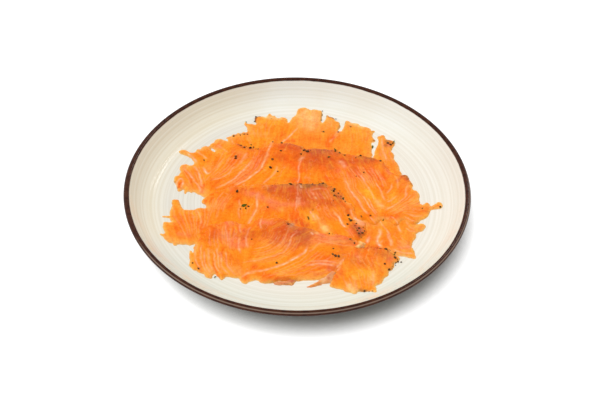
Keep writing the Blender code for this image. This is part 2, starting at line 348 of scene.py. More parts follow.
def ramp(tree, value, low, high, to_low=0.0, to_high=1.0):
    """A smooth step of a value from one range to another."""
    return place(tree, "ShaderNodeMapRange", interpolation_type="SMOOTHSTEP", Value=value, From_Min=low,
                 From_Max=high, To_Min=to_low, To_Max=to_high).outputs["Result"]


def noise(tree, spot, scale, detail, **settings):
    """Smooth noise at a spot, with about so many blotches to the metre."""
    return place(tree, "ShaderNodeTexNoise", Vector=spot, Scale=scale, Detail=detail,
                 **settings).outputs["Fac"]


def blend(tree, share, first, second):
    """Two colours mixed by a share; each is a socket, or a tone in steps from 0 to 255."""
    node = tree.nodes.new("ShaderNodeMix")
    node.data_type = "RGBA"
    for number, value in ((0, share), (6, first), (7, second)):
        if isinstance(value, bpy.types.NodeSocket):
            tree.links.new(value, node.inputs[number])
        else:
            node.inputs[number].default_value = colour(*value)
    return node.outputs[2]


def dent(tree, shader, strength, depth, height):
    """Shades the surface as if it were dented by the height, to the depth."""
    bump = place(tree, "ShaderNodeBump", Strength=strength, Distance=depth, Height=height)
    tree.links.new(bump.outputs[0], shader.inputs["Normal"])


def glaze_material():
    """Cream glaze with finger rings, breaking into a brown band round the lip; its tones are painted
    lighter or darker by side as light and shade, and the band has a painted highlight along its crest
    at the front and right. The band is where the distance from the axis passes its edge, unevenly,
    above its foot."""
    material, tree, shader = new_material("cream glaze", Roughness=0.16, Specular_IOR_Level=0.16)
    spot = place(tree, "ShaderNodeTexCoord").outputs["Object"]
    x, y, z = place(tree, "ShaderNodeSeparateXYZ", Vector=spot).outputs
    flat = place(tree, "ShaderNodeCombineXYZ", X=x, Y=y)
    radius = place(tree, "ShaderNodeVectorMath", operation="LENGTH", i0=flat.outputs[0]).outputs["Value"]
    wobbled = math_node(tree, "MULTIPLY_ADD", noise(tree, spot, 9.0, 1.0), 0.0016, radius)
    coarse, fine = (place(tree, "ShaderNodeTexNoise", noise_dimensions="1D", W=wobbled, Scale=scale,
                          Detail=detail).outputs["Fac"] for scale, detail in ((480.0, 2.0), (1000.0, 1.0)))
    rings = math_node(tree, "MULTIPLY_ADD", coarse, 0.65, math_node(tree, "MULTIPLY", fine, 0.35))
    # A darker and a lighter glaze tone alternate along the rings, the lighter where the ring bump is raised
    ring_tone_share = ramp(tree, rings, 0.36, 0.64)
    # Painted light and shade: the glaze is darker at the floor's left and on the front wall, lighter on the
    # left and back walls
    floor, painted_left_floor, left, back, front = (blend(tree, ring_tone_share, *tones) for tones in (
        FLOOR_TONES, PAINTED_LEFT_FLOOR_TONES, PAINTED_LEFT_WALL_TONES, PAINTED_BACK_WALL_TONES, PAINTED_FRONT_WALL_TONES))
    across = math_node(tree, "MULTIPLY_ADD", y, 0.3, math_node(tree, "MULTIPLY", x, -1.0))
    leftward = ramp(tree, across, 50.0 * MM, 105.0 * MM)
    cream = blend(tree, ramp(tree, across, 20.0 * MM, 90.0 * MM), floor, painted_left_floor)
    turned_up = math_node(tree, "MAXIMUM", leftward, ramp(tree, y, 30.0 * MM, 90.0 * MM))
    reach = math_node(tree, "MULTIPLY", turned_up, ramp(tree, radius, WALL_START, WALL_FULL))
    cream = blend(tree, reach, cream, blend(tree, leftward, back, left))
    near = math_node(tree, "MULTIPLY", ramp(tree, y, -40.0 * MM, -90.0 * MM),
                     ramp(tree, radius, NEAR_START, WALL_FULL))
    cream = blend(tree, near, cream, front)
    cloud = noise(tree, spot, 22.0, 3.0)
    cream = blend(tree, ramp(tree, cloud, 0.35, 0.7, 0.0, 0.22), cream, CLOUD_TONE)
    cream = blend(tree, ramp(tree, noise(tree, spot, 900.0, 2.0), 0.70, 0.78, 0.0, 0.10), cream, SPECK_TONE)
    dipped = math_node(tree, "ADD", radius, ramp(tree, y, -90.0 * MM, 0.0, 0.0, BAND_DIP))
    edge = math_node(tree, "MULTIPLY_ADD", noise(tree, spot, 140.0, 3.0), 0.4 * MM, dipped)
    above = ramp(tree, z, BAND_FOOT_HEIGHT, BAND_FOOT_HEIGHT + 0.6 * MM)
    band = math_node(tree, "MULTIPLY", ramp(tree, edge, *BAND_EDGE), above)
    brown = blend(tree, ramp(tree, noise(tree, spot, 260.0, 4.0), 0.3, 0.7), *BAND_TONES)
    # Painted highlight: a lighter line along the band's crest at the front and right, standing in for a
    # reflection on the lip's outer slope
    off_crest = math_node(tree, "ABSOLUTE", math_node(tree, "SUBTRACT", radius, RIM_HIGHLIGHT_RADIUS))
    crest = math_node(tree, "SUBTRACT", 1.0, ramp(tree, off_crest, 0.18 * MM, 0.55 * MM))
    side = math_node(tree, "SUBTRACT", math_node(tree, "MULTIPLY", x, 0.35), y)
    rim_highlight = math_node(tree, "MULTIPLY", crest, ramp(tree, side, 10.0 * MM, 50.0 * MM, 0.0, 0.7))
    brown = blend(tree, rim_highlight, brown, RIM_HIGHLIGHT_TONE)
    tree.links.new(blend(tree, band, cream, brown), shader.inputs["Base Color"])
    tree.links.new(ramp(tree, cloud, 0.3, 0.7, 0.07, 0.13), shader.inputs["Roughness"])
    dent(tree, shader, 0.15, 0.12 * MM, rings)
    return material


plate = new_piece("plate_glazed", *turned(plate_section(), PLATE_TURNS), glaze_material())
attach(plate, "root")
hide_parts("plate")

# ---- Salmon slices ----------------------------------------------------------------------------
# Seven slices cut thinly across a side of cured salmon, each a limp sheet that drapes over what
# was laid before it: pale fat between the flakes, a darker peppered crust along the outer edge.
GAP = 0.06 * MM
CELL = 0.8 * MM
HEAP_HALF = 118.0 * MM
SHEET_CELL = 0.50 * MM
MOST_TRIANGLES = 188000.0
OUTLINE_STEP = 0.22 * MM
TEAR_PITCHES = (3.1 * MM, 1.4 * MM)
TEAR_DEPTHS = (0.28 * MM, 0.22 * MM)
EDGE_SHARE = 0.05
CLING = 0.8 * MM
RIM_SUNK = 0.05 * MM
# Swing and pitch of the unevenness of a sheet's thickness, its tints and its fat lines
BODY_SWING, BODY_PITCH = 0.14, 9.0 * MM
TINT_SWING, TINT_PITCH = 0.3, 3.0 * MM
BREAK_LEVEL, BREAK_SWING, BREAK_PITCH = 0.8, 0.35, 2.4 * MM
LIFT_PITCHES = (19.0 * MM, 8.0 * MM, 3.6 * MM)
LIFT_HEIGHTS = (0.40 * MM, 0.22 * MM, 0.08 * MM)
LIFT_LEVEL = 0.6
LIFT_INSET = 4.0 * MM
GROOVE = 0.22 * MM
BLOCK = 2000
LATTICE = 256
# How far the support reaches past the food's steps, in cells, and how often it is smoothed
SUPPORT_REACH, SUPPORT_PASSES = 2, 16
DEPTH_PASSES = 2
# Notes on the food are taken on a level plane; whatever is off it seems shifted by the slant
NOTE_LEVEL = 12.3 * MM
NOTE_SLANT = 1.05
# Pitch and reach of the sway that keeps brush strokes from looking ruled: metres, millimetres
SWAYS = ((11.0 * MM, 0.9), (3.2 * MM, 0.45))
FAT = (252, 190, 146)
WHITE_FAT = (255, 222, 196)
RED = (216, 84, 30)
RUST = (196, 88, 48)
EMBER = (244, 98, 12)
PINK = (244, 126, 84)
AMBER = (252, 142, 8)
PALE = (252, 178, 96)
SHEER = (253, 206, 132)
HONEY = (254, 184, 52)
BROWN = (128, 76, 44)
PINK_FIBRE = (252, 164, 54)
DARK_FIBRE = (240, 92, 10)
FIBRE_DEPTH = 0.9
STROKE_REACH = 2.6
# How unevenly a fan's lines are spread, and the longest share cut off their ends
FAN_SWAY, FAN_CUT = 0.25, 0.28
GROOVE_RISE = 1.4
# Pitch and length of the streaks along the grain, in millimetres
STREAKS = ((0.9, 8.0), (2.2, 15.0))
STREAK_STRENGTH = 0.30
# Tone of the pale and the dark streaks, and how far each follows the thin and the broad ones
STREAK_TONES = (((254, 178, 60), 0.42, 0.30), ((242, 96, 8), -0.30, -0.32))
WEB_PITCH, WEB_LENGTH, WEB_WIDTH, WEB_STRENGTH = 3.0, 20.0, 0.09, 0.34
# Flesh lying on the plate, and its tone: thin sheets let the pale glaze through
FLESH_DEPTHS = (0.25 * MM, 0.8 * MM, 1.7 * MM, 3.4 * MM, 5.0 * MM)
FLESH_TONES = ((254, 194, 112), (253, 162, 62), (249, 134, 20), (248, 122, 10), (244, 108, 6))
GRAIN_COARSE = 420.0
GRAIN_FINE = 1600.0
COARSE_SHARE = 0.6


def read_between(lattice, cell, share):
    """Four neighbouring values of a square lattice mixed by the shares of the way across the cell
    and up it; beyond its edge the lattice repeats."""
    column, row = cell[:, 0] % len(lattice), cell[:, 1] % len(lattice)
    after, above = (column + 1) % len(lattice), (row + 1) % len(lattice)
    near = lattice[row, column] * (1.0 - share[:, 0]) + lattice[row, after] * share[:, 0]
    far = lattice[above, column] * (1.0 - share[:, 0]) + lattice[above, after] * share[:, 0]
    return near * (1.0 - share[:, 1]) + far * share[:, 1]


def noise_sheet(points, pitch, seed):
    """A smooth random surface between -1 and 1 over plan points: random heights on a square
    lattice of the given pitch, joined by smooth steps both ways."""
    lattice = np.random.default_rng(seed).uniform(-1.0, 1.0, (LATTICE, LATTICE))
    scaled = points[:, :2] / pitch + LATTICE // 2
    cell = np.floor(scaled).astype(int)
    share = scaled - cell
    return read_between(lattice, cell, share * share * (3.0 - 2.0 * share))


def pairs(numbers):
    """Numbers x, y, x, y, ... as rows of two."""
    return np.reshape(numbers, (-1, 2)).astype(float)


def smooth_line(points, cuts, closed):
    """A Catmull-Rom curve through the points, each stretch cut in equal steps."""
    if closed:
        before, after, beyond = (np.roll(points, shift, axis=0) for shift in (1, -1, -2))
        here = points
    else:
        padded = np.concatenate([points[:1], points, points[-1:]])
        before, here, after, beyond = padded[:-3], padded[1:-2], padded[2:-1], padded[3:]
    t = (np.arange(cuts) / cuts)[None, :, None]
    before, here, after, beyond = (corner[:, None] for corner in (before, here, after, beyond))
    curve = 0.5 * (2.0 * here + (after - before) * t
                   + (2.0 * before - 5.0 * here + 4.0 * after - beyond) * t ** 2
                   + (3.0 * here - before - 3.0 * after + beyond) * t ** 3)
    curve = curve.reshape(-1, 2)
    return curve if closed else np.concatenate([curve, points[-1:]])


def settle(noted, surface):
    """Carries noted places down their slant to a surface: y is corrected by the height found there,
    until the two agree. Returns the places and their heights."""
    spot = noted.copy()
    for _ in range(6):
        spot[:, 1] = noted[:, 1] - NOTE_SLANT * (surface(spot) - NOTE_LEVEL)
    return spot, surface(spot)


def torn_outline(outline_mm, surface, seed):
    """The outline settled on a surface, at an even step, and pushed in and out along its normal by
    small random tears."""
    curve = settle(smooth_line(pairs(outline_mm) * MM, 12, True), surface)[0]
    steps = np.linalg.norm(np.roll(curve, -1, axis=0) - curve, axis=1)
    travelled = np.concatenate([[0.0], np.cumsum(steps)])
    count = int(travelled[-1] / OUTLINE_STEP)
    at = np.arange(count) * (travelled[-1] / count)
    even = np.column_stack([np.interp(at, travelled, np.append(curve[:, k], curve[0, k])) for k in (0, 1)])
    along = np.roll(even, -3, axis=0) - np.roll(even, 3, axis=0)
    normal = np.column_stack([-along[:, 1], along[:, 0]]) / np.linalg.norm(along, axis=1)[:, None]
    tear = sum(depth * noise_sheet(even, pitch, seed + k)
               for k, (pitch, depth) in enumerate(zip(TEAR_PITCHES, TEAR_DEPTHS)))
    return even + normal * tear[:, None]


def inside(points, start, end):
    """Whether a level ray to the right of each point crosses the edges an odd number of times."""
    odd = np.empty(len(points), bool)
    rise = end[:, 1] - start[:, 1]
    slope = (end[:, 0] - start[:, 0]) / np.where(rise == 0.0, 1.0, rise)
    for first in range(0, len(points), BLOCK):
        x, y = (points[first:first + BLOCK, k, None] for k in (0, 1))
        straddles = (start[:, 1] > y) != (end[:, 1] > y)
        right_of = start[:, 0] + (y - start[:, 1]) * slope > x
        odd[first:first + BLOCK] = (straddles & right_of).sum(axis=1) % 2 == 1
    return odd


def nearest(points, line):
    """Distance of each point from the nearest corner of a line, and which one, in blocks."""
    best = np.empty(len(points))
    which = np.empty(len(points), int)
    for first in range(0, len(points), BLOCK):
        block = points[first:first + BLOCK]
        square = (block[:, None, 0] - line[None, :, 0]) ** 2 + (block[:, None, 1] - line[None, :, 1]) ** 2
        corner = square.argmin(axis=1)
        which[first:first + BLOCK] = corner
        best[first:first + BLOCK] = np.sqrt(square[np.arange(len(block)), corner])
    return best, which


def cut_lattice(loops, cell):
    """A square lattice cut along closed loops: every cell is two triangles, those with all three
    corners inside a loop or close to one are kept, and the kept rim is moved on to the loops.
    Returns the corners, the triangles, the depth of each corner inside the rim, and the rim."""
    start = np.concatenate(loops)
    end = np.concatenate([np.roll(loop, -1, axis=0) for loop in loops])
    low = np.floor(start.min(axis=0) / cell).astype(int) - 1
    high = np.ceil(start.max(axis=0) / cell).astype(int) + 2
    x, y = np.meshgrid(np.arange(low[0], high[0]) * cell, np.arange(low[1], high[1]) * cell)
    lattice = np.column_stack([x.ravel(), y.ravel()])
    kept = inside(lattice, start, end)
    depth, corner = nearest(lattice, start)
    usable = kept | (depth < 0.35 * cell)
    wide = x.shape[1]
    row, column = np.divmod(np.arange((x.shape[0] - 1) * (wide - 1)), wide - 1)
    a = row * wide + column
    b, c, d = a + 1, a + wide + 1, a + wide
    even = ((row + column) % 2 == 0)[:, None]
    first = np.where(even, np.column_stack([a, b, c]), np.column_stack([a, b, d]))
    second = np.where(even, np.column_stack([a, c, d]), np.column_stack([b, c, d]))
    faces = np.concatenate([first, second])
    faces = faces[usable[faces].all(axis=1)]
    sides = np.sort(np.concatenate([faces[:, (0, 1)], faces[:, (1, 2)], faces[:, (2, 0)]]), axis=1)
    keys, uses = np.unique(sides[:, 0] * len(lattice) + sides[:, 1], return_counts=True)
    lone = keys[uses == 1]
    rim = np.unique(np.concatenate([lone // len(lattice), lone % len(lattice)]))
    lattice[rim] = start[corner[rim]]
    depth[rim] = 0.0
    on_rim = np.zeros(len(lattice), bool)
    on_rim[rim] = True
    faces = faces[~on_rim[faces].all(axis=1)]
    used = np.unique(faces)
    number = np.full(len(lattice), -1)
    number[used] = np.arange(len(used))
    return lattice[used], number[faces], depth[used], on_rim[used]


class Heap:
    """What lies on the plate so far, on a square lattice: its top, and how much flesh is there."""

    def __init__(self):
        """The bare plate, on a lattice of CELL wide enough for the food."""
        half = round(HEAP_HALF / CELL)
        ticks = np.arange(-half, half + 1) * CELL
        x, y = np.meshgrid(ticks, ticks)
        self.half = half
        self.plate = inner_height(np.hypot(x, y))
        self.top = self.plate.copy()
        self.flesh = np.zeros_like(x)

    def widened(self, grid, cells):
        """Each cell takes the highest value within that many cells."""
        wide = grid.copy()
        for row in range(-cells, cells + 1):
            for column in range(-cells, cells + 1):
                if row * row + column * column <= cells * cells + 1:
                    wide = np.maximum(wide, np.roll(grid, (row, column), axis=(0, 1)))
        return wide

    def softened(self, grid, passes):
        """The lattice smoothed by repeated averages of 1, 2, 1 along each axis."""
        for _ in range(passes):
            for axis in (0, 1):
                grid = 0.25 * (np.roll(grid, 1, axis) + np.roll(grid, -1, axis)) + 0.5 * grid
        return grid

    def read(self, grid, points):
        """A lattice read between its cells, by shares along both axes."""
        scaled = np.clip(points[:, :2] / CELL + self.half, 0, 2 * self.half - 1.001)
        cell = np.floor(scaled).astype(int)
        return read_between(grid, cell, scaled - cell)

    def surface(self, points):
        """Height of the food's top, or the plate's, at plan points."""
        return self.read(self.top, points)

    def support(self):
        """The surface a limp sheet settles on: steps are rounded off, and nothing pokes through."""
        food = self.top - self.plate
        rounded = self.softened(self.widened(food, SUPPORT_REACH), SUPPORT_PASSES)
        return np.maximum(rounded + self.plate, self.widened(food, 1) + self.plate)

    def resting(self, rise):
        """A function for the height, so far above the support, at plan points."""
        support = self.support()
        return lambda points: self.read(support, points) + rise

    def lay(self, points, thickness):
        """Adds a sheet given by dense corners of its upper side and their thickness."""
        cell = np.rint(points[:, :2] / CELL).astype(int) + self.half
        known = ((cell >= 0) & (cell <= 2 * self.half)).all(axis=1)
        column, row = cell[known, 0], cell[known, 1]
        np.maximum.at(self.top, (row, column), points[known, 2])
        added = np.zeros_like(self.flesh)
        np.maximum.at(added, (row, column), thickness[known])
        self.flesh += added


def drape(loops, thickness, heap, seed, feather):
    """A limp sheet within closed loops, lying on the heap, as two skins that meet at the rim.

    The lower skin stands above its support by a gap and a low random lift that fades towards the
    rim; the upper one is higher by the thickness, which thins out exponentially near the rim.
    Returns the corners, the triangles, which corners are on the rim, and the thickness of each."""
    afters = [np.roll(loop, -1, axis=0) for loop in loops]
    area = 0.5 * abs(sum(float((loop[:, 0] * after[:, 1] - loop[:, 1] * after[:, 0]).sum())
                         for loop, after in zip(loops, afters)))
    cell = max(SHEET_CELL, math.sqrt(4.0 * area / MOST_TRIANGLES))
    plan, faces, depth, on_rim = cut_lattice(loops, cell)
    body = thickness * (EDGE_SHARE + (1.0 - EDGE_SHARE) * (1.0 - np.exp(-depth / feather)))
    body = body * (1.0 + BODY_SWING * noise_sheet(plan, BODY_PITCH, seed + 11))
    body[on_rim] = 0.0
    lift = sum(height * (LIFT_LEVEL + noise_sheet(plan, pitch, seed + 20 + k))
               for k, (pitch, height) in enumerate(zip(LIFT_PITCHES, LIFT_HEIGHTS)))
    rest = heap.read(heap.support(), plan) + GAP
    rest = rest + np.maximum(lift, 0.0) * (1.0 - np.exp(-depth / LIFT_INSET))
    clinging = np.exp(-(depth / CLING) ** 2)
    rest = rest * (1.0 - clinging) + (heap.surface(plan) - RIM_SUNK) * clinging
    upper = np.column_stack([plan, rest + body])
    lower = np.column_stack([plan, rest])[~on_rim]
    under = np.arange(len(plan))
    under[~on_rim] = len(plan) + np.arange(len(lower))
    points = np.concatenate([upper, lower])
    return points, np.concatenate([faces, under[faces][:, ::-1]]), on_rim, body


def line_place(spots, line):
    """Distance of each spot from a line of a few corners, and the share of the way along it."""
    best = np.full(len(spots), np.inf)
    along = np.zeros(len(spots))
    pieces = len(line) - 1
    for k in range(pieces):
        run = line[k + 1] - line[k]
        part = np.clip(((spots - line[k]) @ run) / max(float(run @ run), 1e-9), 0.0, 1.0)
        square = ((spots - line[k] - part[:, None] * run) ** 2).sum(axis=1)
        closer = square < best
        best[closer] = square[closer]
        along[closer] = (k + part[closer]) / pieces
    return np.sqrt(best), along


def stroke_share(spots, line, width):
    """How strongly a soft brush stroke along a line covers each spot: a bell curve of the
    distance from the line over its width, fading towards both ends. All in millimetres."""
    if len(line) > 2:
        line = smooth_line(line, 4, False)
    reach = STROKE_REACH * width
    close = (spots > line.min(axis=0) - reach) & (spots < line.max(axis=0) + reach)
    near = np.flatnonzero(close.all(axis=1))
    share = np.zeros(len(spots))
    if len(near) > 0:
        away, along = line_place(spots[near], line)
        ends = np.clip(np.minimum(along, 1.0 - along) * 5.0 + 0.35, 0.0, 1.0)
        share[near] = np.exp(-(away / width) ** 2) * ends
    return share


def fan(first, last, count, seed):
    """Lines spread evenly between two given ones of as many points, a little unevenly, each
    cut short at a random place at either end."""
    draw = np.random.default_rng(seed)
    lines = []
    for k in range(count):
        share = (k + 0.5 + draw.uniform(-FAN_SWAY, FAN_SWAY)) / count
        line = smooth_line(first + share * (last - first), 6, False)
        cut = draw.uniform(0.0, FAN_CUT, 2)
        low, high = int(cut[0] * len(line)), int((1.0 - cut[1]) * len(line))
        lines.append(line[low:high + 1][::3])
    return lines


def fibres(spots, first, last, count, seed):
    """Streaks, between -1 and 1, along the strip between two given lines: random heights over
    the share of the way across and the share of the way along, fading out beside the strip."""
    first, last = smooth_line(first, 4, False), smooth_line(last, 4, False)
    off_first, at_first = line_place(spots, first)
    off_last, at_last = line_place(spots, last)
    at = 0.5 * (at_first + at_last)
    ticks = np.linspace(0.0, 1.0, len(first))
    gap = np.hypot(*(np.interp(at, ticks, last[:, k] - first[:, k]) for k in (0, 1)))
    across = off_first / (off_first + off_last)
    sure = np.clip((1.45 - (off_first + off_last) / gap) / 0.4, 0.0, 1.0)
    sure = sure * np.clip(np.minimum(at, 1.0 - at) * 8.0 + 0.1, 0.0, 1.0)
    broad = noise_sheet(np.column_stack([across * count * 1.7, at * 3.0]), 1.0, seed)
    fine = noise_sheet(np.column_stack([across * count * 4.1, at * 5.0]), 1.0, seed + 1)
    return (0.6 * broad + 0.5 * fine) * sure


def drawn_out(spots, along, pitch, length, seed):
    """A random sheet smeared along the grain: the sum of eleven readings spread over the length,
    over the square root of their number, so that it mostly stays between -1 and 1."""
    shifts = np.linspace(-0.5, 0.5, 11) * length
    return 1.6 * sum(noise_sheet(spots + shift * along, pitch, seed) for shift in shifts) / math.sqrt(11.0)


def brushed(flesh, tone, share):
    """The flesh with a tone, in steps from 0 to 255, laid over it by a share for each corner."""
    share = share[:, None]
    return flesh * (1.0 - share) + np.array(colour(*tone)[:3]) * share


def paint(design, points, depth_of_flesh, seed):
    """Tone and fat of each corner: the tone follows how much flesh lies there, then come the tints,
    streaks along the grain, fibres in the fans, the fat lines and a faint web of fat, all a little
    out of true."""
    spots = np.column_stack([points[:, 0], points[:, 1] + NOTE_SLANT * (points[:, 2] - NOTE_LEVEL)]) / MM
    for k, (pitch, reach) in enumerate(SWAYS):
        sway = [noise_sheet(points, pitch, seed + first + k) for first in (40, 50)]
        spots = spots + reach * np.column_stack(sway)
    tones = np.array([colour(*tone)[:3] for tone in design.get("tones", FLESH_TONES)])
    flesh = np.column_stack([np.interp(depth_of_flesh, FLESH_DEPTHS, tones[:, k]) for k in range(3)])
    patchy = 1.0 + TINT_SWING * noise_sheet(points, TINT_PITCH, seed + 60)
    for tone, width, strength, *line in design["tints"]:
        share = strength * stroke_share(spots, pairs(line), width) * patchy
        flesh = brushed(flesh, tone, np.clip(share, 0.0, 1.0))
    grain_x, grain_turn = pairs(design["grain"]).T
    turn = np.radians(np.interp(spots[:, 0], grain_x, grain_turn))
    along = np.column_stack([np.cos(turn), np.sin(turn)])
    thin, broad = (drawn_out(spots, along, pitch, length, seed + 90 + k)
                   for k, (pitch, length) in enumerate(STREAKS))
    for tone, of_thin, of_broad in STREAK_TONES:
        share = np.clip(of_thin * thin + of_broad * broad, 0.0, 1.0)
        flesh = brushed(flesh, tone, STREAK_STRENGTH * share)
    grain = np.zeros(len(points))
    fat_lines = [(width, strength, pairs(line)) for width, strength, *line in design["fat"]]
    for k, (width, strength, count, *lines) in enumerate(design["fans"]):
        first, last = np.split(pairs(lines), 2)
        streaks = FIBRE_DEPTH * (0.3 + strength) * fibres(spots, first, last, count, seed + 300 + 10 * k)
        grain = np.where(np.abs(streaks) > np.abs(grain), streaks, grain)
        fat_lines += [(width, strength, line) for line in fan(first, last, count, seed + 80 + k)]
    flesh = brushed(flesh, PINK_FIBRE, np.clip(grain, 0.0, 1.0))
    flesh = brushed(flesh, DARK_FIBRE, np.clip(-grain, 0.0, 1.0))
    fat = np.zeros(len(points))
    for width, strength, line in fat_lines:
        fat = np.maximum(fat, strength * stroke_share(spots, line, width))
    web = drawn_out(spots, along, WEB_PITCH, WEB_LENGTH, seed + 95)
    seen = np.clip(0.3 + 0.9 * noise_sheet(spots, 11.0, seed + 96), 0.0, 1.0)
    fat = np.maximum(fat, WEB_STRENGTH * seen * np.exp(-(web / WEB_WIDTH) ** 2))
    broken = BREAK_LEVEL + BREAK_SWING * noise_sheet(points, BREAK_PITCH, seed + 70)
    fat = np.clip(fat * broken, 0.0, 1.0)
    pale, white = (np.array(colour(*tone)[:3]) for tone in (FAT, WHITE_FAT))
    line_tone = pale + (white - pale) * np.clip((fat - 0.5) * 2.0, 0.0, 1.0)[:, None]
    flesh = flesh * (1.0 - fat[:, None]) + line_tone * fat[:, None]
    return flesh, fat


def grain_group():
    """Node group for the grain of cut flesh or fat: a tone near 1, a roughness from 0 to 1 and a
    height, all from noise at a coarse and a fine scale."""
    group = bpy.data.node_groups.new("cut grain", "ShaderNodeTree")
    group.interface.new_socket(name="Contrast", in_out="INPUT", socket_type="NodeSocketFloat")
    for name in ("Tone", "Wetness", "Height"):
        group.interface.new_socket(name=name, in_out="OUTPUT", socket_type="NodeSocketFloat")
    contrast = group.nodes.new("NodeGroupInput").outputs["Contrast"]
    spot = place(group, "ShaderNodeTexCoord").outputs["Object"]
    coarse = noise(group, spot, GRAIN_COARSE, 3.0, Distortion=0.6)
    fine = noise(group, spot, GRAIN_FINE, 3.0)
    both = math_node(group, "ADD", math_node(group, "MULTIPLY", coarse, COARSE_SHARE),
                     math_node(group, "MULTIPLY", fine, 1.0 - COARSE_SHARE))
    centred = math_node(group, "MULTIPLY", math_node(group, "SUBTRACT", both, 0.5), contrast)
    place(group, "NodeGroupOutput", Tone=math_node(group, "ADD", centred, 1.0),
          Wetness=ramp(group, coarse, 0.35, 0.65), Height=both)
    return group


GRAIN = grain_group()


def flesh_material(name, roughness, contrast, depth):
    """Wet cut flesh: the stored tone with grain over it, soft light under the surface, and a wet
    film whose gloss varies with the grain."""
    material, tree, shader = new_material(name, Subsurface_Weight=0.25, Subsurface_Scale=1.0 * MM,
                                          Subsurface_Radius=(1.0, 0.42, 0.16), IOR=1.40,
                                          Specular_IOR_Level=0.10)
    stored = place(tree, "ShaderNodeAttribute", attribute_name="flesh").outputs["Color"]
    grain = place(tree, "ShaderNodeGroup", node_tree=GRAIN)
    grain.inputs["Contrast"].default_value = contrast
    power = math_node(tree, "POWER", grain.outputs["Tone"], 2.2)
    tone = place(tree, "ShaderNodeCombineXYZ", X=grain.outputs["Tone"], Y=power, Z=power)
    shaded = place(tree, "ShaderNodeVectorMath", operation="MULTIPLY", i0=stored, i1=tone.outputs[0])
    tree.links.new(shaded.outputs[0], shader.inputs["Base Color"])
    gloss = ramp(tree, grain.outputs["Wetness"], 0.0, 1.0, *roughness)
    tree.links.new(gloss, shader.inputs["Roughness"])
    dent(tree, shader, 0.6, depth, grain.outputs["Height"])
    return material


def lay_sheet(name, design, heap, material, slot, seed):
    """One slice or scrap: torn, draped, painted, and added to the heap."""
    thickness = design["thickness"] * MM
    loops = [torn_outline(loop, heap.resting(GAP), seed) for loop in (design["outline"], *design["holes"])]
    points, faces, on_rim, body = drape(loops, thickness, heap, seed, design["feather"] * MM)
    upper = points[:len(body)]
    lying_under = heap.read(heap.softened(heap.flesh, DEPTH_PASSES), upper)
    flesh, fat = paint(design, upper, lying_under + body, seed)
    upper[:, 2] -= GROOVE * np.clip(fat * GROOVE_RISE, 0.0, 1.0) * np.clip(body / thickness, 0.0, 1.0)
    heap.lay(upper, body)
    piece = new_piece(name + "_sheet", points, faces, material)
    stored = piece.data.attributes.new("flesh", "FLOAT_COLOR", "POINT")
    tones = np.column_stack([np.concatenate([flesh, flesh[~on_rim]]), np.ones(len(points))])
    stored.data.foreach_set("color", tones.astype(np.float32).ravel())
    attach(piece, "root")
    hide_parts(name)


